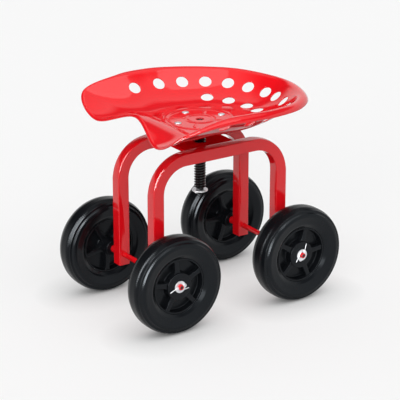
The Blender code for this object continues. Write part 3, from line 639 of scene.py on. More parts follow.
def arch_mesh(node):
    """Bent tube with open ends, in the box of its node, with a hole through each leg for the axle."""
    low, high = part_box(node)
    leg_x = high.x - TUBE / 2
    bend = Vector((leg_x - BEND_RADIUS, 0.0, high.z - TUBE / 2 - BEND_RADIUS))
    half = [(Vector((leg_x, 0.0, low.z)), Vector((1.0, 0.0, 0.0)), 0.0)]
    for step in range(BEND_STEPS + 1):
        angle = pi / 2 * step / BEND_STEPS
        out = Vector((cos(angle), 0.0, sin(angle)))
        half.append((bend + BEND_RADIUS * out, out, BEND_CROWN * sin(2 * angle) ** 0.5))
    mirror = Vector((-1.0, 1.0, 1.0))
    path = half + [(point * mirror, out * mirror, crown) for point, out, crown in reversed(half)]
    middle = Vector((0.0, (low.y + high.y) / 2, 0.0))
    across = Vector((0.0, 1.0, 0.0))
    skins = []
    for side, corner in ((TUBE, TUBE_CORNER), (TUBE - 2 * TUBE_WALL, TUBE_CORNER / 2)):
        section = square_section(side, corner)
        skin = []
        for point, out, crown in path:
            ring = []
            for u, v in section:
                dome = crown * (2 * v / TUBE) ** 2 if u > 0 else 0.0
                ring.append(point + middle + (u - dome) * out + v * across)
            skin.append(ring)
        skins.append(skin)
    arch = ring_mesh(node, skins[0] + skins[1][::-1], joined=True)
    axle_z = WHEEL_CENTRES["front_left"].z
    holes = [rod_tool(AXLE / 2 + CLEAR, 2 * TUBE, facing((0, 1, 0), (x, middle.y, axle_z)))
             for x in (-leg_x, leg_x)]
    return boolean_mesh(node, arch, holes, "DIFFERENCE")


for side in SIDES:
    arch = add_piece(side + "_arch", arch_mesh("side_frame_" + side), red_paint, "chassis",
                     ["side_frame_" + side])
    print(arch.name, len(arch.data.polygons), "faces")

# %% [markdown]
# ## Axles, sleeves and washers
# Two painted rods run right through the legs. A short sleeve holds each wheel off the leg, and outside
# the hub sit a plated washer and a split pin. Rods, sleeves and washers are turned shapes: the profile is
# drawn as an outline with small arcs at its corners, because a real edge is never perfectly sharp and the
# arc is what catches the light.

# %% Axles with pin holes
AXLE_SIDES = 40
# share of the axle's radius, millimetres in from its end: drilled centre, face, rounded edge
AXLE_END = [(0.64, 0.9), (0.68, 0.0), (0.82, 0.1), (0.95, 0.6), (1.0, 1.4)]
END_SHADE_RADIUS = 3.2 * MM        # a dark disc in the drilled middle of each axle end: painted shade in the hole
END_SHADE_SIDES = 32
END_SHADE_DEPTH = 0.7 * MM
END_SHADE_FOOT = 0.98              # the dark disc of painted shade reaches down to this share of its height over the middle
PIN_WIRE = 1.5 * MM
PIN_LEG_SPACING = 1.9 * MM
PIN_HOLE = PIN_LEG_SPACING + PIN_WIRE + 2 * CLEAR
PIN_TURN = {
    "front_left": radians(190),
    "rear_left": radians(62),
    "front_right": radians(115),
    "rear_right": radians(-25),
}


def along_y(profile_rings):
    """The same rings, stacked along Y."""
    turn = Matrix.Rotation(-pi / 2, 4, "X")
    return [[turn @ point for point in ring] for ring in profile_rings]


def axle_mesh(end, half):
    """Rod of a half length along Y, with a cross hole at each end."""
    stations = [(AXLE / 2 * share, half - inset * MM) for share, inset in AXLE_END]
    stations += [(r, -y) for r, y in reversed(stations)]
    rod = ring_mesh(end + "_axle", along_y([circle(r, AXLE_SIDES, y) for r, y in stations]))
    holes = []
    for side in SIDES:
        turn = PIN_TURN[end + "_" + side]
        y = box_centre("wheel_pin_" + end + "_" + side).y
        holes.append(rod_tool(PIN_HOLE / 2, 2 * AXLE, facing((cos(turn), 0.0, sin(turn)), (0.0, y, 0.0))))
    return boolean_mesh(end + "_axle", rod, holes, "DIFFERENCE")


for end in ("front", "rear"):
    low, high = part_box(end + "_axle")
    half = (high.y - low.y) / 2
    here = Matrix.Translation(box_centre(end + "_axle"))
    axle = add_piece(end + "_axle_rod", axle_mesh(end, half), red_paint, "chassis",
                     [end + "_axle"], here)
    # a dark steel disc sits in each drilled end as painted shade, so that the hole looks dark
    reach = half - END_SHADE_DEPTH
    for side, sign in SIDES.items():
        discs = [circle(END_SHADE_RADIUS, END_SHADE_SIDES, y) for y in (sign * reach, END_SHADE_FOOT * sign * reach)]
        add_piece(end + "_" + side + "_painted_shade_axle_end", ring_mesh("painted_shade_end", along_y(discs)), black_oxide,
                  "chassis", [], here)
    print(axle.name, len(axle.data.polygons), "faces")

# %% Sleeves and washers
WASHER_SIDES = 48
# word for the piece, start of the node's name, finish, slot, arc of the edges
HOLLOWS = [
    ("spacer", "axle_sleeve_", red_paint, "red_paint", 0.6 * MM),
    ("flat_washer", "wheel_washer_", zinc_plate, "zinc", 0.4 * MM),
]


def hollow(node, bore, arc):
    """Turned tube or washer of a node's own size, lying along Y."""
    low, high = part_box(node)
    outer = (high.z - low.z) / 2
    half = (high.y - low.y) / 2
    corners = [(bore, half), (outer, half), (outer, -half), (bore, -half)]
    mesh = turned(node, rounded(corners, arc), WASHER_SIDES)
    mesh.transform(Matrix.Rotation(-pi / 2, 4, "X"))
    return mesh


for corner in CORNERS:
    for word, node, finish, slot, arc in HOLLOWS:
        mesh = hollow(node + corner, AXLE / 2 + CLEAR, arc)
        add_piece(corner + "_" + word, mesh, finish, "chassis", [node + corner],
                  Matrix.Translation(box_centre(node + corner)))
print("made 4 sleeves and 4 washers")

# %% [markdown]
# ## Split pins
# A split pin is a wire folded on itself, with an eye at the fold and two legs that are bent apart once it
# is through the hole. A bevelled curve along the fold is the natural tool, since the wire keeps its
# thickness through every bend.

# %% Split pins
PIN_EYE_RADIUS = 2.7 * MM
PIN_EYE_STEPS = 20
PIN_LONG_LEG = 8.5 * MM
PIN_SHORT_LEG = 6.5 * MM
PIN_SPLAY = radians(24)
PIN_BEND_STEPS = 6
BEND_STRIDE, TIP_STRIDE = 0.06, 0.7     # shares of a leg's length: each step of its bend, its straight tip
# legs of a wheel pin, from tip to hole and from hole to tip: one is bent back round the axle
WRAPPED_LEG_MM = [
    (-16.0, 7.4), (-8.0, 7.0), (0.0, 6.7), (3.0, 6.4), (5.2, 5.6),
    (6.5, 4.2), (6.8, 2.6), (6.0, 1.3), (5.0, 0.95),
]
STRAIGHT_LEG_MM = [(5.0, -0.95), (8.0, -0.8), (11.0, -0.2), (23.0, 2.6)]


def bent_leg(shaft_radius, length, sign):
    """Leg from its tip back to the shaft, easing into its splay."""
    bend = Vector((shaft_radius, sign * PIN_LEG_SPACING / 2, 0.0))
    points = [bend]
    heading = 0.0
    for step in range(PIN_BEND_STEPS):
        heading += PIN_SPLAY / PIN_BEND_STEPS
        stride = length * (BEND_STRIDE if step < PIN_BEND_STEPS - 1 else TIP_STRIDE)
        points.append(points[-1] + stride * Vector((cos(heading), sign * sin(heading), 0.0)))
    return points[::-1]


def split_pin_mesh(name, shaft_radius, legs):
    """Folded wire along +X with its eye behind the shaft, in the XY plane."""
    eye_x = -(shaft_radius + CLEAR + PIN_WIRE / 2 + PIN_EYE_RADIUS)
    first = pi / 2 - acos(PIN_LEG_SPACING / 2 / PIN_EYE_RADIUS)
    eye = []
    for step in range(PIN_EYE_STEPS + 1):
        angle = first + (tau - 2 * first) * step / PIN_EYE_STEPS
        eye.append(Vector((eye_x + PIN_EYE_RADIUS * cos(angle), PIN_EYE_RADIUS * sin(angle), 0.0)))
    return wire_mesh(name, legs[0] + eye + legs[1], PIN_WIRE)


wheel_pin_legs = [[Vector((x, y, 0.0)) * MM for x, y in leg] for leg in (WRAPPED_LEG_MM, STRAIGHT_LEG_MM)]
for corner in CORNERS:
    centre = WHEEL_CENTRES[corner]
    spot = Matrix.Translation((centre.x, box_centre("wheel_pin_" + corner).y, centre.z))
    lie = Matrix.Rotation(-PIN_TURN[corner], 4, "Y") @ Matrix.Rotation(pi / 2, 4, "X")
    add_piece(corner + "_split_pin", split_pin_mesh(corner + "_split_pin", AXLE / 2, wheel_pin_legs),
              zinc_plate, "chassis", ["wheel_pin_" + corner], spot @ lie)
print("made 4 split pins")

# %% [markdown]
# ## Tyres
# The tyre is one ring of solid rubber. Its profile carries the look: a crowned tread, a stepped shoulder
# whose two edges catch the light as bright lines, a full sidewall, and a funnel that dips to the wheel.
# Fine ribs run across the tread and the shoulder step. They are real dents in the mesh, made by moving
# the radius in and out round the tyre.

# %% Tyres with a ribbed tread
RIM_RADIUS = 52.0 * MM
RIM_HALF = 15.2 * MM
RIM_SEAT_ARC = 0.8 * MM
TYRE_ARC_STEPS = 5
HOLD = 0.015                  # keeps the flats flat, so that the shoulder edges stay thin bright lines
RIB_COUNT = 144
RIB_SAMPLES = 3
RIB_DEPTH = 0.55 * MM
TREAD_DROP = 3.0 * MM         # ribs run over the tread down to this drop,
STEP_DROPS = (7.6 * MM, 9.6 * MM)       # and over the shoulder step between these two,
STEP_REACH = 22.0 * MM        # out to this distance from the middle plane
# drop below the tread, distance from the middle plane, arc of the corner
TYRE_CORNERS_MM = [
    (0.0, 10.0, 40.0),
    (3.7, 18.8, 0.7),
    (7.4, 18.9, 0.8),
    (9.9, 22.2, 0.7),
    (15.0, 23.5, 9.0),
    (31.0, 19.7, 14.0),
]


def tyre_outline():
    """Profile of (radius, distance from the middle plane), both halves."""
    side = [(TREAD_RADIUS - drop * MM, across * MM, arc * MM) for drop, across, arc in TYRE_CORNERS_MM]
    side.append((RIM_RADIUS + CLEAR, RIM_HALF, RIM_SEAT_ARC))
    other = [(r, -z, arc) for r, z, arc in reversed(side)]
    return rounded(side + other, RIM_SEAT_ARC, TYRE_ARC_STEPS, HOLD)


def rib_weight(radius, across):
    """How far the ribs reach into the rubber at a point of the profile: the tread and the shoulder step."""
    drop = TREAD_RADIUS - radius
    on_step = STEP_DROPS[0] < drop < STEP_DROPS[1] and abs(across) < STEP_REACH
    return 1.0 if drop < TREAD_DROP or on_step else 0.0


def tyre_mesh():
    """Rubber ring about Z, with ribs as dents in its radius."""
    count = RIB_COUNT * RIB_SAMPLES
    rings = []
    for radius, across in tyre_outline():
        depth = RIB_DEPTH * rib_weight(radius, across)
        ring = []
        for i in range(count):
            angle = tau * i / count
            r = radius - depth * (0.5 - 0.5 * cos(tau * i / RIB_SAMPLES))
            ring.append(Vector((r * cos(angle), r * sin(angle), across)))
        rings.append(ring)
    return ring_mesh("tyre", rings, True)


tyre = tyre_mesh()
for corner, sign in CORNERS.items():
    face_out = Matrix.Rotation(-sign * pi / 2, 4, "X")
    add_piece(corner + "_tyre", tyre, tyre_rubber, "wheel_" + corner, ["tyre_" + corner],
              Matrix.Translation(WHEEL_CENTRES[corner]) @ face_out)
print("tyre has", len(tyre.polygons), "faces and a radius of", round(TREAD_RADIUS / MM, 1), "mm")

# %% [markdown]
# ## Wheel centres
# A moulded wheel centre is a thin web stiffened by a rim, a hub and five spokes on each face. Everything
# drafts a little, so that it leaves the mould. The round parts are turned in one go. The spokes are lofted
# bars that flare into the hub and rim like moulded fillets, and a Boolean union makes it one skin.

# %% Five-spoked wheel centres
CENTRE_SIDES = 96
RIM_WALL = 3.0 * MM
HUB_RADIUS = 25.0 * MM
HUB_FACE = 16.5 * MM
BOSS_RADIUS = 16.0 * MM
BOSS_FACE = 33.0 * MM
WEB_HALF = 2.0 * MM
DRAFT = 1.0 * MM
FINE_ARC = 0.6 * MM           # moulded corners: at the bore, the hub, the rim, the boss and the web's roots
HUB_ARC = 1.2 * MM
RIM_ARC = 0.9 * MM
BOSS_ARC = 1.0 * MM
ROOT_ARC = 2.0 * MM
SPOKES = 5
SPOKE_HUB_WIDTH = 10.0 * MM
SPOKE_RIM_WIDTH = 7.5 * MM
SPOKE_FACE = 13.5 * MM
SPOKE_ROOT = 1.6 * MM
SPOKE_FLARE = 2.2 * MM
FLARE_SPANS = (0.3, 0.25)     # shares of a spoke's length over which it flares to the hub and to the rim
SPOKE_EDGE = 0.7 * MM
SPOKE_DRAFT = 0.5 * MM
SPOKE_FOOT_ARC = 0.01 * MM
SPOKE_STATIONS = 14
SPOKE_ARC_STEPS = 3
SPOKE_TURN = {
    "front_left": radians(24),
    "rear_left": radians(5),
    "front_right": radians(50),
    "rear_right": radians(36),
}


def centre_outline():
    """Profile of hub, web and rim, from the bore outward on one face and back on the other."""
    well = RIM_RADIUS - RIM_WALL
    bore = AXLE / 2 + CLEAR
    return rounded([
        (bore, HUB_FACE, FINE_ARC),
        (HUB_RADIUS, HUB_FACE, HUB_ARC),
        (HUB_RADIUS + DRAFT, WEB_HALF, ROOT_ARC),
        (well - DRAFT, WEB_HALF, ROOT_ARC),
        (well, RIM_HALF, RIM_ARC),
        (RIM_RADIUS, RIM_HALF, RIM_ARC),
        (RIM_RADIUS, -RIM_HALF, RIM_ARC),
        (well, -RIM_HALF, RIM_ARC),
        (well - DRAFT, -WEB_HALF, ROOT_ARC),
        (BOSS_RADIUS + DRAFT, -WEB_HALF, ROOT_ARC),
        (BOSS_RADIUS, -BOSS_FACE, BOSS_ARC),
        (bore, -BOSS_FACE, FINE_ARC),
    ], FINE_ARC)


def spoke_ring(x, half_width, face):
    """Section of a spoke at a distance from the axle, with a rounded, slightly narrower top."""
    foot = face * WEB_HALF / 2
    top = face * SPOKE_FACE
    corners = [
        (-half_width - SPOKE_DRAFT, foot, SPOKE_FOOT_ARC),
        (-half_width, top, SPOKE_EDGE),
        (half_width, top, SPOKE_EDGE),
        (half_width + SPOKE_DRAFT, foot, SPOKE_FOOT_ARC),
    ]
    return [Vector((x, y, z)) for y, z in rounded(corners, SPOKE_EDGE, SPOKE_ARC_STEPS)]


def spoke_mesh(face, hub_radius, turn):
    """Bar from the hub to the rim on one face of the web."""
    inner = hub_radius - SPOKE_ROOT
    outer = RIM_RADIUS - RIM_WALL + SPOKE_ROOT
    rings = []
    for step in range(SPOKE_STATIONS + 1):
        t = 0.5 - 0.5 * cos(pi * step / SPOKE_STATIONS)       # crowds the stations at both ends
        at_hub = max(1 - t / FLARE_SPANS[0], 0.0) ** 2
        at_rim = max(1 - (1 - t) / FLARE_SPANS[1], 0.0) ** 2
        width = SPOKE_HUB_WIDTH + (SPOKE_RIM_WIDTH - SPOKE_HUB_WIDTH) * t
        half_width = width / 2 + SPOKE_FLARE * (at_hub + at_rim)
        rings.append(spoke_ring(inner + (outer - inner) * t, half_width, face))
    mesh = ring_mesh("spoke", rings)
    mesh.transform(Matrix.Rotation(turn, 4, "Z"))
    return mesh


spokes = [spoke_mesh(face, hub, tau * i / SPOKES)
          for face, hub in ((1, HUB_RADIUS), (-1, BOSS_RADIUS)) for i in range(SPOKES)]
round_parts = turned("wheel_centre", centre_outline(), CENTRE_SIDES)
wheel_centre = boolean_mesh("wheel_centre", round_parts, spokes, "UNION")
for corner, sign in CORNERS.items():
    face_out = Matrix.Rotation(-sign * pi / 2, 4, "X")
    spin = Matrix.Rotation(-SPOKE_TURN[corner], 4, "Y")
    add_piece(corner + "_spoked_centre", wheel_centre, wheel_plastic, "wheel_" + corner,
              ["wheel_centre_" + corner], Matrix.Translation(WHEEL_CENTRES[corner]) @ spin @ face_out)
print("wheel centre has", len(wheel_centre.polygons), "faces")

# %% [markdown]
# ## Cross plate and threaded bush
# A flat plate bridges the two arches and carries the bush that the screw post turns in. The plate is
# lofted from rings of equal count: the hole on one side, the rounded outline on the other, so its edges
# can carry a small arc all the way round.

# %% Cross plate and bush
PLATE_CORNER = 3.0 * MM
PLATE_EDGE = 0.7 * MM
PLATE_SIDES = 96
POST_RADIUS = 11.0 * MM
BUSH_SIDES = 64
BUSH_CHAMFER = 1.5 * MM
BUSH_EDGE = 0.4 * MM
BORE_ARCS = (0.6 * MM, 0.8 * MM)        # mouths of the bore, upper and lower
TINY = 1e-9


def plate_outline(half_x, half_y, corner):
    """Rounded rectangle as a ring of points at equal angles, so that it faces a round hole."""
    ring = []
    for i in range(PLATE_SIDES):
        angle = tau * i / PLATE_SIDES
        ray = Vector((cos(angle), sin(angle)))
        reach = min(half_x / max(abs(ray.x), TINY), half_y / max(abs(ray.y), TINY))
        point = ray * reach
        inner = Vector((half_x - corner, half_y - corner))
        over = Vector((abs(point.x) - inner.x, abs(point.y) - inner.y))
        if over.x > 0 and over.y > 0:
            pulled = over.normalized() * min(over.length, corner)
            point = Vector(((inner.x + pulled.x) * (1 if point.x > 0 else -1),
                            (inner.y + pulled.y) * (1 if point.y > 0 else -1)))
        ring.append(point)
    return ring


def cross_plate_mesh(node):
    """Plate about its own centre, with a round hole and small arcs along every edge."""
    low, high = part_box(node)
    half = (high - low) / 2
    hole = POST_RADIUS + CLEAR
    face_outline = plate_outline(half.x - PLATE_EDGE, half.y - PLATE_EDGE, PLATE_CORNER - PLATE_EDGE)
    side_outline = plate_outline(half.x, half.y, PLATE_CORNER)
    rings = []
    for face in (1, -1):
        z = face * half.z
        soft = z - face * PLATE_EDGE
        stack = [circle(hole, PLATE_SIDES, soft), circle(hole + PLATE_EDGE, PLATE_SIDES, z)]
        for outline, level in ((face_outline, z), (side_outline, soft)):
            stack.append([Vector((*point, level)) for point in outline])
        rings += stack if face > 0 else stack[::-1]
    return ring_mesh(node, rings, True)


def bush_mesh(node):
    """Turned bush with a chamfered foot, in the box of its node."""
    low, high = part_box(node)
    outer = (high.x - low.x) / 2
    corners = [
        (POST_RADIUS + CLEAR, high.z, BORE_ARCS[0]),
        (outer, high.z),
        (outer, low.z + BUSH_CHAMFER),
        (outer - BUSH_CHAMFER, low.z),
        (POST_RADIUS + CLEAR, low.z, BORE_ARCS[1]),
    ]
    return turned(node, rounded(corners, BUSH_EDGE), BUSH_SIDES)


add_piece("bridge_plate", cross_plate_mesh("cross_plate"), dull_paint, "chassis",
          ["cross_plate"], Matrix.Translation(box_centre("cross_plate")))
add_piece("screw_bush", bush_mesh("post_nut"), red_paint, "chassis", ["post_nut"])
print("made the cross plate and its bush")

# %% [markdown]
# ## Welds
# Plate, arches and bush are joined by fillet welds, which show as beads with a slight, uneven ripple. A
# round wire that swells and shrinks along the seam gives that look; two waves of unlike length keep the
# ripple from repeating.

# %% Weld beads on the plate
WELD_LEG = 4.0 * MM
WELD_SWELL = 0.9              # mean thickness of a bead as a share of its leg, and how far it ripples
WELD_RIPPLE = 0.12
WELD_WAVES = (1.7, 0.61)      # turns of the two waves at each point, in radians
WELD_END = 6.0 * MM           # a seam stops this far from the plate's end
SEAM_STEPS = 60
BUSH_WELD_STEPS = 72


def weld_bead(name, path, leg, cyclic=False):
    """Rippled bead of weld along a path."""
    one, two = WELD_WAVES
    swell = [WELD_SWELL + WELD_RIPPLE * sin(i * one) * cos(i * two) for i in range(len(path))]
    return wire_mesh(name, path, leg, swell, cyclic)


plate_low, plate_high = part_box("cross_plate")
span = plate_high.x - WELD_END
for side, sign in SIDES.items():
    for level, z in (("upper", plate_high.z), ("lower", plate_low.z)):
        path = [Vector((-span + 2 * span * i / SEAM_STEPS, sign * plate_high.y, z))
                for i in range(SEAM_STEPS + 1)]
        add_piece(f"{side}_{level}_plate_weld", weld_bead("plate_weld", path, WELD_LEG), red_paint,
                  "chassis")
bush_ring = circle(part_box("post_nut")[1].x, BUSH_WELD_STEPS, plate_low.z)
add_piece("bush_weld", weld_bead("bush_weld", bush_ring, WELD_LEG, True), red_paint, "chassis")
print("made 5 welds")

# %% [markdown]
# ## Screw post
# The post is a trapezoidal screw: one turn of the seat lifts it by one pitch. A thread can be made with
# the Screw modifier, but then its ends stay open. Here the surface is a grid whose rows climb one pitch
# in each turn; rows past an end are pressed flat onto it, which runs the thread out as a lathe would.

# %% Threaded post
THREAD_PITCH = 5.0 * MM
THREAD_DEPTH = 2.7 * MM
THREAD_COLUMNS = 48
THREAD_SHARP = 30.0
THREAD_OVERRUN = 1.5          # turns that the rows run past each end, to be pressed flat onto it
# place along the pitch, share of the depth
THREAD_PROFILE = [
    (0.0, 0.0), (0.10, 0.0), (0.16, 0.08), (0.38, 0.92),
    (0.44, 1.0), (0.72, 1.0), (0.78, 0.92), (0.96, 0.08),
]
THREAD_MERGE = 0.01 * MM
NO_AREA = 1e-12
STUB_RADIUS = 6.7 * MM
STUB_TOP_Z = 211.5 * MM
END_CHAMFER = 1.5 * MM


def thread_mesh(name, low, high):
    """Right-hand thread about Z between two heights, with chamfered, capped ends."""
    per_turn = len(THREAD_PROFILE)
    rows = per_turn * (int((high - low) / THREAD_PITCH) + int(2 * THREAD_OVERRUN))
    bm = bmesh.new()
    grid = []
    for k in range(rows + per_turn + 1):
        share, cut = THREAD_PROFILE[k % per_turn]
        row = []
        for j in range(THREAD_COLUMNS):
            z = low + THREAD_PITCH * (k // per_turn - THREAD_OVERRUN + share + j / THREAD_COLUMNS)
            flat = min(max(z, low), high)
            limit = POST_RADIUS - END_CHAMFER + min(flat - low, high - flat)
            r = min(POST_RADIUS - THREAD_DEPTH * cut, limit)
            angle = tau * j / THREAD_COLUMNS
            row.append(bm.verts.new((r * cos(angle), r * sin(angle), flat)))
        grid.append(row)
    for k in range(rows):
        for j in range(THREAD_COLUMNS):
            if j + 1 < THREAD_COLUMNS:
                quad = (grid[k][j], grid[k][j + 1], grid[k + 1][j + 1], grid[k + 1][j])
            else:
                quad = (grid[k][j], grid[k + per_turn][0], grid[k + per_turn + 1][0], grid[k + 1][j])
            bm.faces.new(quad)
    bmesh.ops.remove_doubles(bm, verts=bm.verts, dist=THREAD_MERGE)
    bmesh.ops.dissolve_degenerate(bm, edges=bm.edges, dist=THREAD_MERGE)
    flat_faces = [f for f in bm.faces if f.calc_area() < NO_AREA]
    bmesh.ops.delete(bm, geom=flat_faces, context="FACES")
    loose = [v for v in bm.verts if not v.link_faces]
    bmesh.ops.delete(bm, geom=loose, context="VERTS")
    bmesh.ops.holes_fill(bm, edges=[e for e in bm.edges if e.is_boundary], sides=0)
    return mesh_from(name, bm, THREAD_SHARP)


post_low, post_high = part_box("seat_post")
post = add_piece("screw_post", thread_mesh("screw_post", STUB_TOP_Z, post_high.z), black_oxide,
                 "seat", ["seat_post"])
print(post.name, len(post.data.polygons), "faces")

# %% [markdown]
# ## Stub and stop washer
# Below the thread the post is turned down to a plain stub. A washer and a split pin on the stub stop the
# seat from being screwed out of its bush. The pin is the same folded wire as on the wheels, with both legs
# spread a little.

# %% Stub, stop washer and its split pin
POST_PIN_TURN = radians(20)
STUB_FOOT = [(0.75, 0.0), (0.92, 0.35), (1.0, 1.0)]     # share of the radius, millimetres up
STUB_SIDES = 48
STOP_SIDES = 64
STOP_ARC = 0.5 * MM

pin_z = box_centre("post_pin").z
stub_rings = [circle(STUB_RADIUS * share, STUB_SIDES, post_low.z + up * MM) for share, up in STUB_FOOT]
stub_rings.append(circle(STUB_RADIUS, STUB_SIDES, STUB_TOP_Z + CLEAR))
stub_hole = rod_tool(PIN_HOLE / 2, 4 * STUB_RADIUS,
                     facing((cos(POST_PIN_TURN), sin(POST_PIN_TURN), 0.0), (0.0, 0.0, pin_z)))
stub = boolean_mesh("post_stub", ring_mesh("post_stub", stub_rings), [stub_hole], "DIFFERENCE")
add_piece("post_stub", stub, black_oxide, "seat")
low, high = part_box("post_washer")
bore = STUB_RADIUS + CLEAR
outline = rounded([(bore, high.z), (high.x, high.z), (high.x, low.z), (bore, low.z)], STOP_ARC)
add_piece("stop_washer", turned("stop_washer", outline, STOP_SIDES), zinc_plate, "post_stop",
          ["post_washer"])
splayed = (bent_leg(STUB_RADIUS, PIN_LONG_LEG, 1), bent_leg(STUB_RADIUS, PIN_SHORT_LEG, -1)[::-1])
add_piece("post_split_pin", split_pin_mesh("post_split_pin", STUB_RADIUS, splayed), zinc_plate,
          "seat", ["post_pin"],
          Matrix.Translation((0, 0, pin_z)) @ Matrix.Rotation(POST_PIN_TURN, 4, "Z"))
print("made the stub, stop washer and split pin")

# %% [markdown]
# ## Seat plate
# A round plate is welded to the top of the post, and the pan is bolted to it. It is turned, then drilled
# with a Boolean. Under the pan's centre hole a thin dark disc lies on it as painted shade, so the hole
# looks dark.

# %% Seat plate
BOLT_RADIUS = 4.0 * MM
BOLT_NAMES = ["rear", "right", "front", "left"]
DRILL_LENGTH = 40.0 * MM
PLATE_MIDDLE = 0.2 * MM       # the outline starts this close to the axis
CARRIER_ARC = 0.8 * MM
SHADE_DISC_RADIUS = 7.6 * MM
SHADE_DISC_SIDES = 48
SHADE_DISC_LIFTS = (0.05 * MM, 0.15 * MM)      # of its two faces, over the plate
POST_WELD_LEG = 5.0 * MM
POST_WELD_OUT = 0.5 * MM
POST_WELD_STEPS = 64

low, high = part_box("seat_plate")
outline = rounded([(PLATE_MIDDLE, high.z), (high.x, high.z), (high.x, low.z), (PLATE_MIDDLE, low.z)],
                  CARRIER_ARC)
bolt_places = [Matrix.Translation(box_centre("seat_bolt_" + name)) for name in BOLT_NAMES]
plate_holes = [rod_tool(BOLT_RADIUS + CLEAR, DRILL_LENGTH, place) for place in bolt_places]
plate = boolean_mesh("seat_plate", turned("seat_plate", outline, PLATE_SIDES), plate_holes, "DIFFERENCE")
add_piece("carrier_plate", plate, red_paint, "seat", ["seat_plate"])
# a thin dark disc under the pan's centre hole: painted shade
painted_shade_disc = ring_mesh("painted_shade_disc", [circle(SHADE_DISC_RADIUS, SHADE_DISC_SIDES, high.z + lift) for lift in SHADE_DISC_LIFTS])
add_piece("painted_shade_plate_centre", painted_shade_disc, black_oxide, "seat")
post_ring = circle(POST_RADIUS + POST_WELD_OUT, POST_WELD_STEPS, low.z)
add_piece("post_weld", weld_bead("post_weld", post_ring, POST_WELD_LEG, True), red_paint,
          "seat")
print("made the seat plate, its bare centre and its weld")

# %% [markdown]
# ## Bolts and nuts
# Four low-headed bolts clamp the pan to the plate. The nuts are hexagons whose corners are turned off at
# 30 degrees, which gives each flat its curved top edge; the same rule in a loop of rings makes that shape
# directly.

# %% Bolts and nuts
BOLT_SIDES = 48
HEAD_HEIGHT = 2.8 * MM
BOLT_MIDDLE = 0.05 * MM       # the outline starts this close to the axis
CROWN_TOP = 2.0 * MM          # the head's middle, up from its underside
CROWN = (3.2 * MM, 1.9 * MM, 6.0 * MM)  # where the top begins to fall: radius, up, arc
# the rest of the head: in from its edge, up from its underside, arc
HEAD_CORNERS = [(0.9 * MM, 1.2 * MM, 2.5 * MM), (0.0, 0.5 * MM, 0.5 * MM), (0.0, 0.0, 0.2 * MM)]
POINT_CHAMFER = 0.8 * MM
NUT_FLAT = 6.5 * MM
NUT_SIDES = 72
NUT_CHAMFER = radians(30)
NUT_FACE = 0.97 * NUT_FLAT    # radius of the flat face inside the chamfer
NUT_MOUTH = 0.6 * MM
NUT_SHARP = 25.0


def bolt_mesh(node):
    """Low domed head on a plain shank, drawn about the bolt's own axis."""
    low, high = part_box(node)
    head_radius = (high.x - low.x) / 2
    head_low = high.z - HEAD_HEIGHT
    corners = [
        (BOLT_MIDDLE, head_low + CROWN_TOP, 0.01 * MM),
        (CROWN[0], head_low + CROWN[1], CROWN[2]),
    ]
    corners += [(head_radius - inset, head_low + up, arc) for inset, up, arc in HEAD_CORNERS]
    corners += [
        (BOLT_RADIUS, head_low, 0.05 * MM),
        (BOLT_RADIUS, low.z + POINT_CHAMFER, 0.3 * MM),
        (BOLT_RADIUS - POINT_CHAMFER, low.z, 0.1 * MM),
        (BOLT_MIDDLE, low.z, 0.01 * MM),
    ]
    return turned(node, rounded(corners, 0.0), BOLT_SIDES)


def nut_mesh(node):
    """Hexagon nut with both faces chamfered, drawn about the bolt's own axis."""
    low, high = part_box(node)
    bore = BOLT_RADIUS + CLEAR

    def hexagon(level, sign):
        """Ring of the six sides, lower where the chamfer takes off the corners."""
        ring = []
        for i in range(NUT_SIDES):
            angle = tau * i / NUT_SIDES
            reach = NUT_FLAT / cos((angle % (pi / 3)) - pi / 6)
            drop = (reach - NUT_FACE) * tan(NUT_CHAMFER)
            ring.append(Vector((reach * cos(angle), reach * sin(angle), level - sign * drop)))
        return ring

    rings = []
    for level, sign in ((high.z, 1), (low.z, -1)):
        stack = [
            circle(bore, NUT_SIDES, level - sign * NUT_MOUTH),
            circle(bore + NUT_MOUTH, NUT_SIDES, level),
            circle(NUT_FACE, NUT_SIDES, level),
            hexagon(level, sign),
        ]
        rings += stack if sign > 0 else stack[::-1]
    return ring_mesh(node, rings, True, NUT_SHARP)


for name in BOLT_NAMES:
    spot = box_centre("seat_bolt_" + name)
    here = Matrix.Translation((spot.x, spot.y, 0.0))
    add_piece(name + "_pan_bolt", bolt_mesh("seat_bolt_" + name), zinc_plate, "seat",
              ["seat_bolt_" + name], here)
    add_piece(name + "_pan_nut", nut_mesh("seat_nut_" + name), zinc_plate, "seat",
              ["seat_nut_" + name], here)
print("made 4 bolts and 4 nuts")

# %% [markdown]
# ## Seat pan: the shape
# The pan is one pressing of 2 mm sheet. Its ridge line rises round the back and sides, dips to a lobe on
# each side of the front, and climbs to a pommel between them; past the ridge the sheet rolls over and
# down. Sculpting would reach such a form too, but a few stations on a smooth closed curve, and a rule for
# the wall between floor and ridge, keep it exact and easy to refine.

# %% Ridge, wall and rolled lip as formulas
PAN_SHEET = 2.0 * MM
FLOOR_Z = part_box("seat_plate")[1].z + PAN_SHEET + CLEAR
LEVEL_RADIUS = 58.0 * MM      # the pommel starts to rise outside this radius
FLOOR_EDGE = 66.0 * MM        # the wall starts here
LIP_RADIUS = 12.0 * MM
FRONT_LIP_RADIUS = 5.0 * MM
LIP_NARROWS = (-35.0 * MM, -150.0 * MM)      # along x, the lip goes from one radius to the other
LIP_TURN = radians(82)
SIDE_WALL = (0.0, 2.61)       # where the wall leaves the floor, as a share, and how it steepens
BACK_WALL = (0.37, 2.17)
BACK_WIDTH = 170.0 * MM       # the back's wall turns into the sides' wall within this distance
POMMEL_SLOPE = 0.48
POMMEL_WIDTH = 105.0 * MM
POMMEL_EASE = 26.0 * MM       # the pommel eases out of the level floor over this length
TANGENT_STEP = 0.004          # share of the way round, and of the way in, for slopes
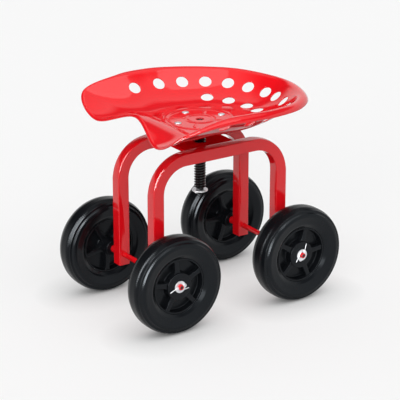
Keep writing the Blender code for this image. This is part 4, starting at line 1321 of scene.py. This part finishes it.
# the ridge from the back, round the right side, to the pommel: x, y, height over the floor
RIM_STATIONS_MM = [
    (189.7, 0.0, 44.3),
    (160.6, 91.3, 46.9),
    (108.8, 143.0, 48.7),
    (41.2, 168.4, 52.9),
    (-10.6, 173.8, 55.6),
    (-69.0, 171.5, 54.3),
    (-144.5, 166.2, 37.4),
    (-155.9, 100.5, 3.8),
    (-134.6, 0.0, 31.4),
]
right_side = [Vector(station) * MM for station in RIM_STATIONS_MM]
RIM_LOOP = right_side + [station * Vector((1, -1, 1)) for station in reversed(right_side[1:-1])]


def ridge(turn):
    """Point of the ridge at a share of the way round, on a smooth closed curve through the stations."""
    count = len(RIM_LOOP)
    spot = (turn % 1.0) * count
    i = int(spot) % count
    t = spot - int(spot)
    a, b, c, d = (RIM_LOOP[(i + k) % count] for k in (-1, 0, 1, 2))
    square = 2 * a - 5 * b + 4 * c - d
    cube = 3 * b - a - 3 * c + d
    return 0.5 * (2 * b + (c - a) * t + square * t ** 2 + cube * t ** 3)


def smooth_step(low, high, value):
    """0 to 1 as a value goes from low to high, level at both ends."""
    share = min(max((value - low) / (high - low), 0.0), 1.0)
    return share * share * (3 - 2 * share)


def pommel(point):
    """Height that the pommel adds to the pan at a point."""
    ahead = max(-point.x - LEVEL_RADIUS, 0.0)
    slope = POMMEL_SLOPE * smooth_step(0.0, POMMEL_EASE, ahead)
    return slope * ahead * smooth_step(POMMEL_WIDTH, 0.0, abs(point.y))


@lru_cache(maxsize=None)
def rim_frame(turn):
    """Ridge point, the lip's outward and upward directions, the wall's lean, start and curve."""
    tangent = (ridge(turn + TANGENT_STEP) - ridge(turn - TANGENT_STEP)).normalized()
    out = tangent.cross(Vector((0.0, 0.0, 1.0))).normalized()
    point = ridge(turn)
    back = smooth_step(BACK_WIDTH, 0.0, abs(point.y)) if point.x > 0 else 0.0
    start, curve = (side + (behind - side) * back for side, behind in zip(SIDE_WALL, BACK_WALL))
    run = (point.xy.length - FLOOR_EDGE) * (1 - start)
    wall_slope = (point.z - pommel(point)) * curve / run
    pommel_slope = (pommel(point) - pommel(point * (1 - TANGENT_STEP))) / (point.xy.length * TANGENT_STEP)
    lean = atan2(max(wall_slope + pommel_slope, 0.0), 1.0)
    return point, out, out.cross(tangent), lean, start, curve


def lip_point(turn, roll):
    """Point on the rolled lip: 0 is the wall's end and 1 is the free edge."""
    point, out, up, lean, start, curve = rim_frame(turn)
    radius = LIP_RADIUS + (FRONT_LIP_RADIUS - LIP_RADIUS) * smooth_step(*LIP_NARROWS, point.x)
    angle = -lean + (LIP_TURN + lean) * roll
    return point - radius * up + radius * (sin(angle) * out + cos(angle) * up)


def wall_point(turn, share):
    """Point on the wall between the round floor and the lip."""
    edge = lip_point(turn, 0.0)
    flat = Vector((edge.x, edge.y, 0.0))
    point = (flat.normalized() * FLOOR_EDGE).lerp(flat, share)
    start, curve = rim_frame(turn)[4:]
    rise = (max(share - start, 0.0) / (1 - start)) ** curve
    point.z = pommel(point) + (edge.z - pommel(edge)) * rise
    return point


tallest = max(station[2] for station in RIM_STATIONS_MM)
print("pan floor at", round(FLOOR_Z / MM, 1), "mm, ridge up to", tallest, "mm above")

# %% [markdown]
# ## Seat pan: floor pressing
# The press also stiffens the floor: a bead round the bolted disc, a small ring round the centre hole and
# four short ribs between the bolts. They are plain raised beads, so a single rounded bump profile, laid
# along circles and rays, gives them all.

# %% Raised beads in the floor
BEADS = [                     # radius, half width, height
    (62.0 * MM, 4.0 * MM, 1.8 * MM),
    (25.0 * MM, 3.5 * MM, 1.3 * MM),
]
RIB_SPAN = (32.0 * MM, 52.0 * MM)
RIB_HALF_WIDTH = 4.0 * MM
RIB_HEIGHT = 1.3 * MM


def bump(distance, half_width):
    """Rounded bead: 1 on its middle line, 0 beyond its half width."""
    share = min(abs(distance) / half_width, 1.0)
    return (1 - share * share) ** 2


def floor_height(point):
    """Height of the beads and ribs over the level floor."""
    radius = point.xy.length
    high = sum(tall * bump(radius - at, half) for at, half, tall in BEADS)
    turned_in = (atan2(point.y, point.x) + pi / 4) % (pi / 2)
    off = turned_in - pi / 2 if turned_in > pi / 4 else turned_in
    along = radius * cos(off)
    sideways = radius * sin(off)
    past = max(RIB_SPAN[0] - along, along - RIB_SPAN[1], 0.0)
    return high + RIB_HEIGHT * bump((sideways ** 2 + past ** 2) ** 0.5, RIB_HALF_WIDTH)


print("floor beads at", [round(at / MM) for at, half, tall in BEADS], "mm and 4 ribs")

# %% [markdown]
# ## Seat pan: where the holes sit
# Two rows of drain holes run round the back and sides: seven and three on each half, at equal angles. The
# wall is a formula of two shares, one round the ridge and one up the wall, so the share that lies at a
# given angle is found by halving an interval until it fits.

# %% Places of the drain holes
# count on each half, share of the wall, x of the centre of their angles, first angle, pitch
OUTER_ROW = (7, 0.826, 32.7 * MM, radians(7.2), radians(18.6))
# count on each half, radius from the middle, first angle, pitch
INNER_ROW = (3, 117.5 * MM, radians(8.0), radians(20.6))
MID_WALL = 0.5
ANGLE_HALVINGS = 30


def turn_towards(angle, centre_x, share):
    """Share of the way round at which the wall lies in this direction from a point on the centre line."""
    low, high = 0.0, 0.5
    for _ in range(ANGLE_HALVINGS):
        middle = (low + high) / 2
        point = wall_point(middle, share)
        if atan2(point.y, point.x - centre_x) < angle:
            low = middle
        else:
            high = middle
    return low


def hole_places():
    """Each hole's share of the way round and share of the wall, on both sides."""
    count, reach, centre_x, first, pitch = OUTER_ROW
    places = [(turn_towards(first + i * pitch, centre_x, reach), reach) for i in range(count)]
    count, radius, first, pitch = INNER_ROW
    for i in range(count):
        turn = turn_towards(first + i * pitch, 0.0, MID_WALL)
        places.append((turn, (radius - FLOOR_EDGE) / (lip_point(turn, 0.0).xy.length - FLOOR_EDGE)))
    return places + [(1.0 - turn, share) for turn, share in places]


HOLES = hole_places()
print("placed", len(HOLES), "drain holes")

# %% [markdown]
# ## Seat pan: clean holes
# Cutting the holes with a Boolean would leave long thin faces that spoil a glossy surface. Instead each
# hole takes a block of cells out of the pan's grid and puts back rings that change from the block's
# outline to a true circle, all of them on the surface. The grid's columns stand closer where the ridge
# bends.

# %% Grid columns and the rings round a hole
COLUMNS = 360
FLOOR_ROWS = 26
WALL_ROWS = 46
LIP_ROWS = 12
RIDGE_SAMPLES = 8             # samples of the ridge for each column
BEND_WEIGHT = 45.0 * MM       # length of ridge that a bend of one radian counts as
HOLE_RADIUS = 11.7 * MM
HOLE_BLOCK = 16.5 * MM        # half size of the block of cells that a hole replaces
HOLE_RINGS = 5
RING_CROWDING = 0.7           # below 1, the rings stand closer towards the hole
EDGE_HALVINGS = 18
NORMAL_STEP = 0.01


def rim_turns(count):
    """Shares of the way round, spaced along the ridge and closer where it bends."""
    samples = RIDGE_SAMPLES * count
    points = [ridge(i / samples) for i in range(-1, samples + 2)]
    reach = [0.0]
    for before, one, two, after in zip(points, points[1:], points[2:], points[3:]):
        bend = ((one - before).angle(two - one) + (two - one).angle(after - two)) / 2
        reach.append(reach[-1] + (two - one).length + BEND_WEIGHT * bend)
    turns = []
    k = 0
    for step in range(count):
        target = reach[-1] * step / count
        while reach[k + 1] <= target:
            k += 1
        turns.append((k + (target - reach[k]) / (reach[k + 1] - reach[k])) / samples)
    return turns


def between(one, two, t):
    """Place a share t of the way from one (turn, share) on the wall to another."""
    return [a + (b - a) * t for a, b in zip(one, two)]


def wall_normal(turn, share):
    """Direction square to the wall."""
    around = wall_point(turn + NORMAL_STEP, share) - wall_point(turn - NORMAL_STEP, share)
    outward = wall_point(turn, share + NORMAL_STEP) - wall_point(turn, share - NORMAL_STEP)
    return outward.cross(around).normalized()


def on_hole_edge(centre, corner):
    """Where the line between two places on the wall crosses the hole's edge, as (turn, share)."""
    middle = wall_point(*centre)
    axis = wall_normal(*centre)
    low, high = 0.0, 1.0
    for _ in range(EDGE_HALVINGS):
        t = (low + high) / 2
        arm = wall_point(*between(centre, corner, t)) - middle
        if (arm - arm.dot(axis) * axis).length < HOLE_RADIUS:
            low = t
        else:
            high = t
    return between(centre, corner, high)


def add_hole(bm, rows, turns, centre):
    """Replace a block of cells round a hole by rings; returns the cells that were replaced."""
    turn, share = centre
    middle = wall_point(turn, share)
    column = min(range(COLUMNS), key=lambda j: abs((turns[j] - turn + 0.5) % 1.0 - 0.5))
    level = min(range(WALL_ROWS), key=lambda i: abs(i / WALL_ROWS - share))
    wide = 1
    while (wall_point(turns[(column + wide) % COLUMNS], share) - middle).length < HOLE_BLOCK:
        wide += 1
    tall = 1
    while (wall_point(turn, share + tall / WALL_ROWS) - middle).length < HOLE_BLOCK:
        tall += 1
    low, high = level - tall, min(level + tall, WALL_ROWS)
    left, right = column - wide, column + wide
    border = [(low, j) for j in range(left, right)] + [(i, right) for i in range(low, high)]
    border += [(high, j) for j in range(right, left, -1)] + [(i, left) for i in range(high, low, -1)]
    loops = [[rows[FLOOR_ROWS + i][j % COLUMNS] for i, j in border]]
    lines = []                # from the block's outline to the edge of the hole
    for i, j in border:
        place = turns[j % COLUMNS]
        corner = (place + round(turn - place), i / WALL_ROWS)
        lines.append((corner, on_hole_edge(centre, corner)))
    for ring in range(1, HOLE_RINGS + 1):
        t = (ring / HOLE_RINGS) ** RING_CROWDING
        loops.append([bm.verts.new(wall_point(*between(corner, edge, t))) for corner, edge in lines])
    for one, two in zip(loops, loops[1:]):
        for n in range(len(one)):
            m = (n + 1) % len(one)
            bm.faces.new((one[n], two[n], two[m], one[m]))
    return {(FLOOR_ROWS + i, j % COLUMNS) for i in range(low, high) for j in range(left, right)}


print("the grid has", COLUMNS, "columns and", FLOOR_ROWS + WALL_ROWS + LIP_ROWS, "rows of cells")

# %% [markdown]
# ## Seat pan: the pressing
# Floor, wall and lip are rows of one grid about the centre hole. The grid is a single skin. Solidify gives
# it the thickness of the sheet, and a small bevel breaks the sharp edges of the holes and the lip, as
# deburring does.

# %% Seat pan mesh
CENTRE_HOLE = 7.0 * MM
PAN_EDGE = 0.45 * MM
PAN_EDGE_STEPS = 2
PAN_EDGE_ANGLE = radians(50)


def pan_mesh():
    """Single skin of the pan about its own floor, with its holes."""
    turns = rim_turns(COLUMNS)
    rays = [lip_point(turn, 0.0).xy.normalized().to_3d() for turn in turns]
    bm = bmesh.new()
    rows = []
    for step in range(FLOOR_ROWS):
        radius = CENTRE_HOLE + (FLOOR_EDGE - CENTRE_HOLE) * step / FLOOR_ROWS
        row = []
        for ray in rays:
            point = ray * radius
            point.z = floor_height(point) + pommel(point)
            row.append(bm.verts.new(point))
        rows.append(row)
    for step in range(WALL_ROWS):
        rows.append([bm.verts.new(wall_point(turn, step / WALL_ROWS)) for turn in turns])
    for step in range(LIP_ROWS + 1):
        rows.append([bm.verts.new(lip_point(turn, step / LIP_ROWS)) for turn in turns])
    taken = set()
    for centre in HOLES:
        taken |= add_hole(bm, rows, turns, centre)
    for i in range(len(rows) - 1):
        for j in range(COLUMNS):
            if (i, j) not in taken:
                k = (j + 1) % COLUMNS
                bm.faces.new((rows[i][j], rows[i + 1][j], rows[i + 1][k], rows[i][k]))
    bmesh.ops.delete(bm, geom=[v for v in bm.verts if not v.link_faces], context="VERTS")
    bm.normal_update()
    mesh = bpy.data.meshes.new("seat_pan")
    bm.to_mesh(mesh)
    bm.free()
    return mesh


pan = add_piece("stamped_pan", pan_mesh(), red_paint, "seat", ["seat_pan"],
                Matrix.Translation((0.0, 0.0, FLOOR_Z)))
sheet = pan.modifiers.new("sheet", "SOLIDIFY")
sheet.thickness = PAN_SHEET
sheet.offset = -1.0
edge = pan.modifiers.new("edge", "BEVEL")
edge.width = PAN_EDGE
edge.segments = PAN_EDGE_STEPS
edge.limit_method = "ANGLE"
edge.angle_limit = PAN_EDGE_ANGLE
pan.data.shade_smooth()
print(pan.name, len(pan.data.polygons), "faces")
